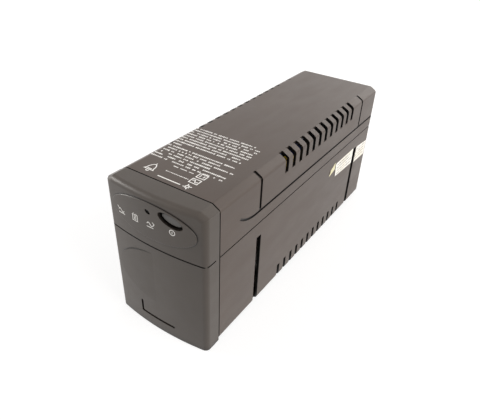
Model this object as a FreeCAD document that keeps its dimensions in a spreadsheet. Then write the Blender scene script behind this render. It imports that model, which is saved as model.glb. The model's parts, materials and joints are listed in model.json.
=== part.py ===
import FreeCAD, Part
import math
import os
import re

import Sketcher

# Uninterruptible power supply: a small upright tower on four rubber feet.
# Frame: +X is to the right, +Y runs from the front bezel to the rear panel, +Z is up.
# The origin is on the floor, under the middle of the object's box. Millimetres.

SIZES = {
    # housing
    "side_room": 12.0,           # from the transformer core's side to the outer side face
    "head_room": 24.4,           # from the main board to the ceiling
    "rear_bay": 58.0,            # from the transformer core to the rear edge
    "wall": 2.5,
    "cover_height": 47.5,        # the cover meets the base this far below the top
    "seam_gap": 1.1,
    "fit_gap": 0.3,
    "underside": 2.0,            # base floor above the surface it stands on
    "band_width": 7.0,           # sloping band along the upper long edges
    "band_height": 4.0,
    "band_blend": 4.0,
    "floor_radius": 4.0,
    "tongue_height": 2.0,
    "tongue_width": 1.1,
    "post_radius": 4.0,
    "post_room": 5.5,            # post axis in from the inner side face
    "post_front": 10.0,          # post axis behind the bezel seam
    "post_rear": 22.0,           # post axis ahead of the rear edge
    # front bezel
    "bezel_depth": 17.0,
    "bow": 4.6,                  # how far the front bulges beyond its corners
    "bezel_lift": 1.0,
    "bezel_radius": 5.0,
    "pad_rise": 1.0,             # raised control pad
    "pad_width": 86.0,
    "pad_height": 33.6,
    "pad_drop": 22.3,            # middle of the control pad below the top
    "pad_edge": 0.6,
    "swoosh_width": 92.0,
    "swoosh_height": 54.0,
    "swoosh_level": 61.0,
    "swoosh_offset": 5.0,
    "swoosh_shift": 12.0,
    "swoosh_rise": 0.2,
    "front_line": 1.3,           # horizontal line round the bezel
    "front_line_depth": 0.8,
    "latch_line": 2.4,           # L-shaped release slot
    "latch_left": 19.7,
    "latch_right": 16.4,
    "latch_low": 13.2,
    "latch_high": 25.0,
    # vents and side grooves, placed from the bezel seam and from the floor
    "slot_width": 5.6,
    "slot_pitch": 12.73,
    "slot_first": 97.7,
    "slot_drop": 17.2,           # slot foot below the top
    "slot_reach": 8.2,
    "vent_width": 4.8,
    "vent_pitch": 12.76,
    "vent_first": 99.7,
    "vent_top": 18.5,
    "vent_reach": 8.0,
    "side_slot_width": 7.2,
    "side_slot_drop": 15.0,      # top of the tall slots below the seam
    "front_slot": 57.0,
    "rear_slot": 266.7,
    "groove_width": 2.4,
    "groove_depth": 1.3,
    "groove_rise": 12.7,         # groove above the seam
    "groove_start": 50.0,
    "groove_bend": 40.0,
    "joint_width": 3.2,
    "front_joint": 56.0,
    "rear_joint": 264.5,
    # feet and screws
    "foot_radius": 7.0,
    "foot_recess": 1.0,
    "foot_inset": 14.0,
    "foot_end_inset": 24.0,
    "screw_radius": 1.5,
    "screw_head_radius": 2.8,
    "screw_head_height": 1.8,
    "screw_clearance": 0.1,
    "boss_height": 3.0,
    # power button, switch and light
    "button_width": 18.8,        # cap, inside a larger well
    "button_height": 7.6,
    "well_width": 23.0,
    "well_height": 10.4,
    "button_x": 20.3,
    "button_rise": 8.3,          # button above the middle of the control pad
    "button_tilt": 14.0,
    "button_sink": 1.3,          # cap behind the face of the control pad
    "button_travel": 2.5,
    "lamp_x": -1.2,
    "lamp_rise": 8.6,
    "lamp_width": 5.4,
    "lamp_height": 3.2,
    "lamp_tilt": 27.0,
    "front_board_room": 14.0,    # back face of the board behind the bezel's corner plane
    "front_board_width": 72.0,
    "front_board_height": 24.0,
    "board_thickness": 1.6,
    # battery
    "battery_length": 151.0,
    "battery_width": 65.0,
    "battery_height": 94.0,
    "battery_front": 22.0,       # behind the bezel seam
    "battery_lid": 12.0,
    "tab_height": 6.3,
    "tab_width": 6.3,
    "tab_thick": 0.8,
    "pad_thick": 2.0,
    "side_pad_thick": 3.0,
    "sheet_thick": 1.2,
    "deck_gap": 6.8,             # battery top to deck underside
    "leg_width": 60.0,
    "foot_flange": 8.5,
    # main board on the deck
    "deck_setback": 17.0,        # deck behind the battery front
    "deck_length": 134.0,
    "standoff_height": 6.0,
    "standoff_radius": 3.0,
    "board_width": 84.0,
    # transformer
    "core_width": 76.0,
    "core_height": 63.5,
    "core_stack": 50.0,
    "core_gap": 23.0,            # between the battery and the transformer core
    "core_leg": 12.7,
    "winding_build": 12.0,
    "bobbin_wall": 1.0,
    # rear panel
    "panel_recess": 6.0,
    "panel_thick": 2.5,
    "rail_height": 2.2,
    "rail_width": 2.0,
    "flange_thick": 2.0,
    "inlet_x": -22.0,
    "outlet_x": 20.5,
    "socket_step": 31.0,         # height from one row of sockets to the next
    "socket_depth": 20.0,
    "breaker_x": 22.0,
    "breaker_radius": 5.5,
    "breaker_travel": 3.0,
    "breaker_rest": 1.5,         # reset button proud of its collar at rest
    "port_drop": 25.0,           # middle of the port row below the top
    "jack_x": -20.0,
    "usb_x": 14.0,
    "earth_x": 34.0,
}

SLOT_COUNT = 12
STEP_FOLDER = "parts"

doc = FreeCAD.newDocument("tower_ups")
sheet = doc.addObject("Spreadsheet::Sheet", "size")
for row, (alias, number) in enumerate(SIZES.items(), start=1):
    sheet.set(f"A{row}", alias)
    sheet.set(f"B{row}", str(number))
    sheet.setAlias(f"B{row}", alias)
doc.recompute()

# Overall sizes and levels that follow from the driving sizes; a formula may name them too.
DERIVED = {
    "body_width": "(core_width + 2 * side_room)",
    "body_length": "(battery_front + battery_length + core_gap + core_stack + rear_bay)",
    "board_level": "(underside + wall + pad_thick + battery_height + deck_gap + sheet_thick"
                   " + standoff_height + board_thickness)",
    "body_height": "(board_level + head_room + wall)",
    "seam_height": "(body_height - cover_height)",
    "groove_level": "(seam_height + groove_rise)",
    "slot_foot": "(body_height - slot_drop)",
    "side_slot_top": "(seam_height - side_slot_drop)",
    "pad_level": "(body_height - pad_drop)",
    "button_z": "(pad_level + button_rise)",
    "lamp_z": "(pad_level + lamp_rise)",
    "port_z": "(body_height - port_drop)",
    "outlet_low": "(port_z - 2 * socket_step)",
    "inlet_z": "(port_z - 3 * socket_step)",
    "breaker_z": "(inlet_z)",
}

# Places along the object.
SEAM_Y = "((bezel_depth + bow + pad_rise - body_length) / 2)"
REAR_Y = "((bezel_depth + bow + pad_rise + body_length) / 2)"
MIDDLE_Y = "((bezel_depth + bow + pad_rise) / 2)"
HALF = "(body_width / 2)"
INNER = "(body_width / 2 - wall)"
FLOOR = "(underside + wall)"
CEILING = "(body_height - wall)"
COVER_LOW = "(seam_height + seam_gap / 2)"
BASE_TOP = "(seam_height - seam_gap / 2)"
BEZEL_BACK = f"({SEAM_Y} - seam_gap)"
POST_X = f"({INNER} - post_room)"
POST_YS = (f"({SEAM_Y} + post_front)", f"({REAR_Y} - post_rear)")
PANEL_OUT = f"({REAR_Y} - panel_recess)"
PANEL_IN = f"({PANEL_OUT} - panel_thick)"
BATTERY_Y = f"({SEAM_Y} + battery_front)"
BATTERY_END = f"({BATTERY_Y} + battery_length)"
BATTERY_Z = f"({FLOOR} + pad_thick)"
BATTERY_TOP = f"({BATTERY_Z} + battery_height)"
DECK_LOW = f"({BATTERY_TOP} + deck_gap)"
DECK_TOP = f"({DECK_LOW} + sheet_thick)"
DECK_Y = f"({BATTERY_Y} + deck_setback)"
LEG_X = "(battery_width / 2 + side_pad_thick + fit_gap)"
BOARD_LOW = f"({DECK_TOP} + standoff_height)"
BOARD_TOP = f"({BOARD_LOW} + board_thickness)"
BOARD_Y = f"({DECK_Y} + 2)"
BOARD_LENGTH = "(deck_length - 4)"
CORE_Y = f"({BATTERY_END} + core_gap + core_stack / 2)"
CORE_Z = FLOOR
FRONT_BOARD_Y = f"({BEZEL_BACK} - bezel_depth + front_board_room)"
FRONT_BOARD_FACE = f"({FRONT_BOARD_Y} - board_thickness)"
PLUNGER_FRONT = f"({FRONT_BOARD_FACE} - 6.5 - button_travel)"
BREAKER_TIP = f"({PANEL_OUT} + flange_thick + breaker_rest)"
SIDES = (-1, 1)

WORDS = re.compile(r"[a-z_][a-z_0-9]*")
AXIS_TURN = {
    "x": FreeCAD.Rotation(FreeCAD.Vector(0, 1, 0), 90),
    "y": FreeCAD.Rotation(FreeCAD.Vector(1, 0, 0), -90),
    "z": FreeCAD.Rotation(),
}
DISC_TURN = FreeCAD.Rotation(FreeCAD.Vector(0, 0, -1), FreeCAD.Vector(0, -1, 0), FreeCAD.Vector(-1, 0, 0),
                             "ZXY")
nodes = {}


# ---------------------------------------------------------------- helpers

def expand(word):
    """A named size becomes its cell of the sheet; a derived size becomes its own formula."""
    text = word.group(0)
    if text in DERIVED:
        return formula(DERIVED[text])
    return "size." + text if text in SIZES else text


def formula(text):
    """Point every named size in the text at its cell of the sheet."""
    return WORDS.sub(expand, str(text))


def value(text):
    """The number that a formula gives with the sizes as they stand."""
    return float(sheet.evalExpression(formula(text)))


def bind(item, **sizes):
    """Tie the named properties of an object to formulas."""
    for name, text in sizes.items():
        item.setExpression(name, formula(text))
    return item


def place(item, x=0, y=0, z=0):
    """Tie the position of an object to three formulas."""
    for axis, text in zip("xyz", (x, y, z)):
        item.setExpression("Placement.Base." + axis, formula(text))
    return item


def box(x, y, z, width, depth, height):
    """A block centred on x and y whose underside is at z."""
    block = bind(doc.addObject("Part::Box", "Block"), Length=width, Width=depth, Height=height)
    return place(block, f"{x} - ({width}) / 2", f"{y} - ({depth}) / 2", z)


def rod(x, y, z, radius, length, axis="z"):
    """A cylinder that starts at the point and runs along +axis."""
    bar = bind(doc.addObject("Part::Cylinder", "Rod"), Radius=radius, Height=length)
    bar.Placement.Rotation = AXIS_TURN[axis]
    return place(bar, x, y, z)


def fuse(*pieces):
    """The pieces joined into one shape."""
    joined = doc.addObject("Part::MultiFuse", "Fuse")
    joined.Shapes = list(pieces)
    joined.Refine = True
    return joined


def common(first, second):
    """What two shapes share."""
    shared = doc.addObject("Part::Common", "Common")
    shared.Base = first
    shared.Tool = second
    return shared


def cut(base, *tools):
    """The base with the tools taken away."""
    left = doc.addObject("Part::Cut", "Cut")
    left.Base = base
    left.Tool = tools[0] if len(tools) == 1 else fuse(*tools)
    return left


def group(*pieces):
    """Separate solids kept together as one node."""
    bunch = doc.addObject("Part::Compound", "Group")
    bunch.Links = list(pieces)
    return bunch


def name(item, label):
    """Give a finished sub-part its label and note it for writing."""
    item.Label = label
    nodes[label] = item
    return item


def outline(body, role, corners):
    """A closed sketch through the corners on one of the body's own planes."""
    plane = next(item for item in body.Origin.OriginFeatures if item.Role == role)
    sketch = body.newObject("Sketcher::SketchObject", "Sketch")
    sketch.AttachmentSupport = [(plane, "")]
    sketch.MapMode = "FlatFace"
    spots = [(value(across), value(up)) for across, up in corners]
    count = len(spots)
    for index, spot in enumerate(spots):
        following = spots[(index + 1) % count]
        sketch.addGeometry(Part.LineSegment(FreeCAD.Vector(*spot, 0), FreeCAD.Vector(*following, 0)))
    for index in range(count):
        sketch.addConstraint(Sketcher.Constraint("Coincident", index, 2, (index + 1) % count, 1))
    for index, corner in enumerate(corners):
        for kind, text, number in zip(("DistanceX", "DistanceY"), corner, spots[index]):
            rule = sketch.addConstraint(Sketcher.Constraint(kind, -1, 1, index, 1, number))
            sketch.setExpression(f"Constraints[{rule}]", formula(text))
    return sketch


def pad(corners, role, length, y=0, z=0):
    """A PartDesign body: one outline padded evenly to both sides of its plane."""
    body = doc.addObject("PartDesign::Body", "Body")
    feature = body.newObject("PartDesign::Pad", "Pad")
    feature.Profile = outline(body, role, corners)
    feature.Midplane = True
    bind(feature, Length=length)
    place(body, 0, y, z)
    doc.recompute()
    return body


def round_edges(body, radius, wanted):
    """Fillet the body's edges whose middle point passes the test."""
    picked = [
        f"Edge{number}"
        for number, edge in enumerate(body.Tip.Shape.Edges, start=1)
        if wanted(edge.valueAt((edge.FirstParameter + edge.LastParameter) / 2), edge)
    ]
    base = body.Tip
    feature = body.newObject("PartDesign::Fillet", "Fillet")
    feature.Base = (base, picked)
    bind(feature, Radius=radius)
    body.Tip = feature
    doc.recompute()
    return body


def round_solid(solid, radius, wanted):
    """The same for a solid made of Part objects."""
    doc.recompute()
    size = value(radius)
    picked = [
        (number, size, size)
        for number, edge in enumerate(solid.Shape.Edges, start=1)
        if wanted(edge.valueAt((edge.FirstParameter + edge.LastParameter) / 2), edge)
    ]
    feature = doc.addObject("Part::Fillet", "Round")
    feature.Base = solid
    feature.Edges = picked
    doc.recompute()
    return feature


def oval(width, height, y, length, x, z, tilt=0.0):
    """An oval bar along +Y, its long axis turned clockwise by tilt as seen from the front."""
    ring = bind(doc.addObject("Part::Ellipse", "Oval"),
                MajorRadius=f"({width}) / 2", MinorRadius=f"({height}) / 2")
    ring.Placement.Rotation = (
        FreeCAD.Rotation(FreeCAD.Vector(0, 1, 0), value(tilt))
        .multiply(FreeCAD.Rotation(FreeCAD.Vector(1, 0, 0), 90))
    )
    place(ring, x, y, z)
    bar = doc.addObject("Part::Extrusion", "Bar")
    bar.Base = ring
    bar.DirMode = "Custom"
    bar.Dir = FreeCAD.Vector(0, 1, 0)
    bar.Solid = True
    bind(bar, LengthFwd=length)
    return bar


def screw(x, y, z, length, axis="z", sign=1):
    """A pan-head screw: the head's seat is at the point and the shank runs along sign times axis."""
    head = {"x": x, "y": y, "z": z}
    shank = dict(head)
    if sign > 0:
        head[axis] = f"({head[axis]}) - screw_head_height"
    else:
        shank[axis] = f"({shank[axis]}) - ({length})"
    return fuse(rod(*head.values(), "screw_head_radius", "screw_head_height", axis),
                rod(*shank.values(), "screw_radius", length, axis))


def tube(points, radius):
    """A cable along straight runs joined by tangent arcs, as a solid."""
    corners = [FreeCAD.Vector(*point) for point in points]
    edges = []
    start = corners[0]
    for before, here, after in zip(corners, corners[1:], corners[2:]):
        come = (here - before).normalize()
        leave = (after - here).normalize()
        run = 0.45 * min((here - before).Length, (after - here).Length)
        enter = here - come * run
        exit_point = here + leave * run
        half_turn = come.getAngle(leave) / 2
        arc_radius = run / math.tan(half_turn)
        inward = (leave - come).normalize()
        centre = here + inward * math.hypot(arc_radius, run)
        middle = centre - inward * arc_radius
        edges.append(Part.LineSegment(start, enter).toShape())
        edges.append(Part.Arc(enter, middle, exit_point).toShape())
        start = exit_point
    edges.append(Part.LineSegment(start, corners[-1]).toShape())
    path = Part.Wire(edges)
    ring = Part.Wire(Part.makeCircle(radius, corners[0], corners[1] - corners[0]))
    return path.makePipeShell([ring], True, False)


def cables(label, routes, radius):
    """One node of cables; each route's points are formulas of the named sizes."""
    solids = []
    for route in routes:
        solids.append(tube([[value(text) for text in point] for point in route], radius))
    item = doc.addObject("Part::Feature", "Cable")
    item.Shape = solids[0] if len(solids) == 1 else Part.makeCompound(solids)
    return name(item, label)


# ---------------------------------------------------------------- housing

def housing_section(inset):
    """Outline of the whole housing, seen from the front, drawn in by the inset."""
    side = f"{HALF} - {inset}"
    low = f"underside + {inset}"
    high = f"body_height - {inset}"
    shoulder = f"body_height - band_height - {inset} / 2"
    crown = f"{HALF} - band_width - {inset} / 2"
    right = [(side, low), (side, shoulder), (crown, high)]
    left = [(f"-({across})", up) for across, up in reversed(right)]
    return right + left


def channel(top):
    """The cover's or the base's own section, an open channel."""
    if top:
        outer = housing_section("0")[1:5]
        inner = housing_section("wall")[1:5]
        level = COVER_LOW
        sign_first = 1
    else:
        outer = [(f"-({HALF})", "underside"), (HALF, "underside")]
        inner = [(f"-({INNER})", FLOOR), (INNER, FLOOR)]
        level = BASE_TOP
        sign_first = -1
    first_outer = (HALF if sign_first > 0 else f"-({HALF})", level)
    last_outer = (f"-({HALF})" if sign_first > 0 else HALF, level)
    first_inner = (INNER if sign_first > 0 else f"-({INNER})", level)
    last_inner = (f"-({INNER})" if sign_first > 0 else INNER, level)
    return [first_outer, *outer, last_outer, last_inner, *reversed(inner), first_inner]


def skin(depth):
    """The outermost layer of the housing, one groove deep."""
    outside = pad(housing_section("(-2)"), "XZ_Plane", "body_length - 1", MIDDLE_Y)
    inside = pad(housing_section(depth), "XZ_Plane", "body_length + 2", MIDDLE_Y)
    return cut(outside, inside)


def top_cover():
    """Upper shell: sloping bands, slots that wrap over them, moulded grooves and screw posts."""
    shell = pad(channel(True), "XZ_Plane", "body_length", MIDDLE_Y)
    shoulder = value("body_height - band_height")
    crown = value(f"{HALF} - band_width")
    side = value(HALF)
    height = value("body_height")

    def on_band(point, edge):
        long_edge = edge.Length > 100
        at_side = abs(abs(point.x) - side) < 0.01 and abs(point.z - shoulder) < 0.01
        at_top = abs(abs(point.x) - crown) < 0.01 and abs(point.z - height) < 0.01
        return long_edge and (at_side or at_top)

    round_edges(shell, "band_blend", on_band)
    posts = []
    for hand in SIDES:
        for y in POST_YS:
            posts.append(rod(f"{hand} * {POST_X}", y, "seam_height", "post_radius",
                             f"{CEILING} - seam_height + 0.5"))
        rail_top = "body_height - band_height - wall"
        for y in (f"{PANEL_OUT} + rail_width / 2", f"{PANEL_IN} - fit_gap - rail_width / 2"):
            posts.append(box(f"{hand} * ({INNER} - rail_height / 2 + 0.2)", y, COVER_LOW,
                             "rail_height + 0.4", "rail_width", f"{rail_top} - {COVER_LOW}"))
    for y in (f"{PANEL_OUT} + rail_width / 2", f"{PANEL_IN} - fit_gap - rail_width / 2"):
        posts.append(box(0, y, f"{CEILING} - rail_height", "body_width - 2 * band_width - 10",
                         "rail_width", "rail_height + 0.4"))
    holes = []
    for hand in SIDES:
        for y in POST_YS:
            holes.append(rod(f"{hand} * {POST_X}", y, "seam_height - 1", "screw_radius + screw_clearance",
                             26))
    slots = []
    for number in range(SLOT_COUNT):
        for hand in SIDES:
            slots.append(box(f"{hand} * ({HALF} + 2 - slot_reach / 2)",
                             f"{SEAM_Y} + slot_first + {number} * slot_pitch", "slot_foot",
                             "slot_reach + 4", "slot_width", "body_height - slot_foot + 4"))
    marks = []
    for hand in SIDES:
        for y in ("front_joint", "rear_joint"):
            marks.append(box(f"{hand} * ({HALF} + 2 - slot_reach / 2)", f"{SEAM_Y} + {y}", "groove_level",
                             "slot_reach + 4", "joint_width", "body_height - groove_level + 4"))
        marks.append(box(f"{hand} * {HALF}", f"{SEAM_Y} + (groove_start + body_length) / 2 + 1",
                         "groove_level - groove_width / 2", 8, "body_length - groove_start + 2",
                         "groove_width"))
        bend = []
        for extra in ("groove_width / 2", "-groove_width / 2"):
            disc = bind(doc.addObject("Part::Cylinder", "Disc"),
                        Radius=f"groove_bend + {extra}", Height=8, Angle=36)
            disc.Placement.Rotation = DISC_TURN
            place(disc, f"{hand} * {HALF} + 4", f"{SEAM_Y} + groove_start", "groove_level + groove_bend")
            bend.append(disc)
        marks.append(cut(*bend))
    grooves = common(skin("groove_depth"), fuse(*marks))
    return name(cut(fuse(shell, *posts), *holes, *slots, grooves), "top_cover")


def base_shell():
    """Lower shell: floor, vents round its lower edges, tall side slots, posts, bosses and ribs."""
    shell = pad(channel(False), "XZ_Plane", "body_length", MIDDLE_Y)
    side = value(HALF)
    low = value("underside")

    def on_floor_edge(point, edge):
        return edge.Length > 100 and abs(abs(point.x) - side) < 0.01 and abs(point.z - low) < 0.01

    round_edges(shell, "floor_radius", on_floor_edge)
    adds = []
    for hand in SIDES:
        for y in POST_YS:
            adds.append(rod(f"{hand} * {POST_X}", y, f"{FLOOR} - 0.5", "post_radius",
                            f"seam_height - {FLOOR} + 0.5"))
        tongue = "body_length - post_front - panel_recess - 18"
        tongue_y = f"{SEAM_Y} + 12 + ({tongue}) / 2"
        tongue_x = f"{hand} * ({INNER} - 0.2 - tongue_width / 2)"
        adds.append(box(tongue_x, tongue_y, f"{BASE_TOP} - 4", "tongue_width", tongue, "4 + tongue_height"))
        adds.append(box(f"{hand} * ({INNER} - tongue_width / 2)", tongue_y, f"{BASE_TOP} - 4",
                        "tongue_width + 0.4", tongue, 3.9))
        for y in (f"{PANEL_OUT} + rail_width / 2", f"{PANEL_IN} - fit_gap - rail_width / 2"):
            adds.append(box(f"{hand} * ({INNER} - rail_height / 2 + 0.2)", y, f"{FLOOR} - 0.2",
                            "rail_height + 0.4", "rail_width", f"{BASE_TOP} - {FLOOR} + 0.2"))
        for y in bracket_screw_ys():
            adds.append(rod(f"{hand} * ({LEG_X} + foot_flange - 4)", y, f"{FLOOR} - 0.5", 3.4,
                            "boss_height + 0.5"))
        for y in transformer_screw_ys():
            adds.append(rod(f"{hand} * {strap_screw_x()}", y, f"{FLOOR} - 0.5", 3.2, "boss_height + 0.5"))
    for y in (f"{PANEL_OUT} + rail_width / 2", f"{PANEL_IN} - fit_gap - rail_width / 2"):
        adds.append(box(0, y, f"{FLOOR} - 0.2", f"2 * {INNER}", "rail_width", "rail_height + 0.2"))
    for y in (f"{BATTERY_Y} - fit_gap - 1.25", f"{BATTERY_END} + fit_gap + 1.25"):
        adds.append(box(0, y, f"{FLOOR} - 0.2", "battery_width - 10", 2.5, 12.2))
    for y in (f"{CORE_Y} - core_stack / 2 - fit_gap - 1", f"{CORE_Y} + core_stack / 2 + fit_gap + 1"):
        adds.append(box(0, y, f"{FLOOR} - 0.2", "core_width - 20", 2, 6.2))
    cuts = []
    for hand in SIDES:
        for y in POST_YS:
            cuts.append(rod(f"{hand} * {POST_X}", y, "underside - 1", "screw_radius + screw_clearance",
                            "seam_height + 3"))
            cuts.append(rod(f"{hand} * {POST_X}", y, "underside - 1", "screw_head_radius + fit_gap",
                            "screw_head_height + 3"))
        for y in bracket_screw_ys():
            cuts.append(rod(f"{hand} * ({LEG_X} + foot_flange - 4)", y, f"{FLOOR} - 1",
                            "screw_radius + screw_clearance", "boss_height + 2"))
        for y in transformer_screw_ys():
            cuts.append(rod(f"{hand} * {strap_screw_x()}", y, f"{FLOOR} - 1",
                            "screw_radius + screw_clearance", "boss_height + 2"))
        for y in foot_ys():
            cuts.append(rod(f"{hand} * ({HALF} - foot_inset)", y, "underside - 1",
                            "foot_radius + fit_gap / 2", "1 + foot_recess"))
        for y in ("front_slot", "rear_slot"):
            cuts.append(box(f"{hand} * {HALF}", f"{SEAM_Y} + {y}", "underside - 1",
                            "2 * wall + 1.6", "side_slot_width", "side_slot_top - underside + 1"))
        for number in range(SLOT_COUNT):
            cuts.append(box(f"{hand} * ({HALF} + 1 - vent_reach / 2)",
                            f"{SEAM_Y} + vent_first + {number} * vent_pitch", "underside - 1",
                            "vent_reach + 2", "vent_width", "vent_top - underside + 1"))
    return name(cut(fuse(shell, *adds), *cuts), "base_shell")


def bracket_screw_ys():
    """Places along the object of the screws that hold the battery bracket."""
    middle = f"({BATTERY_Y} + battery_length / 2)"
    return (f"({middle} - leg_width / 2 + 8)", f"({middle} + leg_width / 2 - 8)")


def transformer_screw_ys():
    """Places along the object of the screws that hold the transformer."""
    return (f"({CORE_Y} - 12)", f"({CORE_Y} + 12)")


def strap_screw_x():
    """Distance of the strap's screws from the middle plane."""
    return "(core_width / 2 + fit_gap + sheet_thick + 4)"


def foot_ys():
    """Places along the object of the rubber feet."""
    return (f"({SEAM_Y} + foot_end_inset)", f"({REAR_Y} - foot_end_inset)")


def rubber_feet():
    """Four round feet pressed into recesses of the floor."""
    feet = []
    for hand in SIDES:
        for y in foot_ys():
            foot = rod(f"{hand} * ({HALF} - foot_inset)", y, 0, "foot_radius", "underside + foot_recess")
            lowest = 0.01
            feet.append(round_solid(foot, 0.8, lambda point, edge: point.z < lowest and edge.Length > 20))
    return name(group(*feet), "rubber_feet")


def housing_screws():
    """Four long screws that rise through the base posts into the cover posts."""
    length = "seam_height + 18 - underside - screw_head_height - 2"
    seat = "underside + screw_head_height + 2"
    screws = []
    for hand in SIDES:
        for y in POST_YS:
            shaft = screw(f"{hand} * {POST_X}", y, seat, length)
            slot = box(f"{hand} * {POST_X}", y, f"{seat} - screw_head_height - 0.1", 3.4, 0.9, 1.1)
            screws.append(cut(shaft, slot))
    return name(group(*screws), "housing_screws")


# ---------------------------------------------------------------- front bezel

def bowed_block(inset, rise="0", shift="0"):
    """Block with the bezel's bowed front, standing from the floor to above the top."""
    half = f"({HALF} - {inset})"
    corner = f"({BEZEL_BACK} + seam_gap - bezel_depth - {rise} + {inset})"
    reach = value("bow")
    span = value(half)
    radius = (span * span + reach * reach) / (2 * reach)
    block = box(shift, f"{corner} + 60 - bow", "-1", f"2 * {half}", 120, "body_height + 4")
    drum = rod(shift, f"{corner} - bow + {radius}", "-2", radius, "body_height + 8")
    return common(block, drum)


def bezel_section(inset):
    """The housing's section, but reaching down to the bezel's own lower edge."""
    section = housing_section(inset)
    low = f"bezel_lift + {inset}"
    return [(section[0][0], low), *section[1:5], (section[5][0], low)]


def front_bezel():
    """Bowed front moulding with the control pad, the light and button openings and its hooks."""
    slab = pad(bezel_section("0"), "XZ_Plane", "2 * bezel_depth + 2 * bow + 20", BEZEL_BACK)
    behind = box(0, f"{BEZEL_BACK} + 40", "-2", "body_width + 4", 80, "body_height + 8")
    body = cut(common(slab, bowed_block("0")), behind)
    front = value(f"{BEZEL_BACK} - bezel_depth + seam_gap")
    low = value("bezel_lift")

    def front_rim(point, edge):
        return point.y < front + 0.3 and point.z > low + 1 and edge.Length > 6

    body = round_solid(body, "bezel_radius", front_rim)
    raised = common(oval("pad_width", "pad_height", f"{BEZEL_BACK} - bezel_depth - bow - 10",
                         "bezel_depth + bow + 4", 0, "pad_level"), bowed_block("0", "pad_rise"))
    tip = value(f"{BEZEL_BACK} - bezel_depth + 3")
    raised = round_solid(raised, "pad_edge", lambda point, edge: point.y < tip and edge.Length > 90)
    swoosh = common(oval("swoosh_width", "swoosh_height", f"{BEZEL_BACK} - bezel_depth - bow - 10",
                         "bezel_depth + bow + 4", "swoosh_offset", "swoosh_level"),
                    bowed_block("0", "swoosh_rise", "-swoosh_shift"))
    limits = box("swoosh_offset", f"{BEZEL_BACK} - bezel_depth", "swoosh_level - swoosh_height / 2 - 1",
                 "swoosh_width + 2", 20, "swoosh_height + 2")
    swoosh = common(swoosh, limits)
    hollow_section = pad(bezel_section("wall"), "XZ_Plane", "2 * bezel_depth + 2 * bow + 20", BEZEL_BACK)
    hollow = common(hollow_section, bowed_block("wall"))
    shell = cut(fuse(body, raised, swoosh), hollow)
    adds = []
    hook = "(post_front - post_radius - 1)"
    for hand in SIDES:
        for z in (24, 72, 116):
            adds.append(box(f"{hand} * ({INNER} - fit_gap - 1)", f"{BEZEL_BACK} + {hook} / 2 - 4", z, 2,
                            f"{hook} + 8", 10))
            adds.append(box(f"{hand} * ({INNER} - 0.9)", f"{BEZEL_BACK} - 4", z, 3, 8, 10))
        adds.append(rod(f"{hand} * (front_board_width / 2 - 4)", f"{FRONT_BOARD_FACE} - 14",
                        f"{front_board_low()} + 4", 3, 14, "y"))
    line = box(0, f"{BEZEL_BACK} - bezel_depth - bow + 5", "seam_height - front_line / 2",
               "body_width + 2", "bow + 20", "front_line")
    line = cut(line, bowed_block("front_line_depth"))
    cuts = [line]
    for hand in SIDES:
        cuts.append(rod(f"{hand} * (front_board_width / 2 - 4)", f"{FRONT_BOARD_FACE} - 9",
                        f"{front_board_low()} + 4", "screw_radius + screw_clearance", 10, "y"))
    cuts.append(oval("well_width", "well_height", f"{BEZEL_BACK} - bezel_depth - bow - 5", 18,
                     "button_x", "button_z", "button_tilt"))
    cuts.append(oval("lamp_width", "lamp_height", f"{BEZEL_BACK} - bezel_depth - bow - 5", 18,
                     "lamp_x", "lamp_z", "lamp_tilt"))
    front_y = f"{BEZEL_BACK} - bezel_depth - bow + 2"
    cuts.append(box("-latch_left", front_y, "latch_low", "latch_line", 16, "latch_high - latch_low"))
    cuts.append(box("(latch_right - latch_left) / 2", front_y, "latch_low - latch_line / 2",
                    "latch_left + latch_right", 16, "latch_line"))
    for x, z in (("-latch_left", "latch_high"), ("-latch_left", "latch_low"), ("latch_right", "latch_low")):
        cuts.append(rod(x, f"{front_y} - 8", z, "latch_line / 2", 16, "y"))
    return name(cut(fuse(shell, *adds), *cuts), "front_bezel")


def front_board_low():
    """Level of the lower edge of the front board."""
    return "(button_z - front_board_height / 2 - 4)"


def power_button():
    """Oval cap with a skirt and a stem that pushes the switch plunger."""
    front = f"({BEZEL_BACK} - bezel_depth - bow - pad_rise + seam_gap + button_sink)"
    length = 5
    cap = common(oval("button_width", "button_height", f"{front} - 3", f"{length} + 3", "button_x",
                      "button_z", "button_tilt"), bowed_block("(button_sink + 0.4)", "pad_rise"))
    tip = value(f"{front} + 2.4")
    cap = round_solid(cap, 1.2, lambda point, edge: point.y < tip and edge.Length > 20)
    stem_start = f"({front} + {length} - 1)"
    stem_end = f"({PLUNGER_FRONT} - fit_gap)"
    stem = box("button_x", f"({stem_start} + {stem_end}) / 2", "button_z - 2", 4,
               f"{stem_end} - {stem_start}", 4)
    return name(fuse(cap, stem), "power_button")


def power_switch():
    """Switch block on the front board, with the plunger that the button pushes."""
    block = box("button_x", f"{FRONT_BOARD_FACE} - 2.5", "button_z - 4", 8, 5, 8)
    well = rod("button_x", f"{FRONT_BOARD_FACE} - 6", "button_z", 1.9, "2.1 + button_travel", "y")
    name(cut(block, well), "power_switch")
    shaft = rod("button_x", PLUNGER_FRONT, "button_z", 1.6, "2.1 + button_travel", "y")
    return name(shaft, "switch_plunger")


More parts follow.
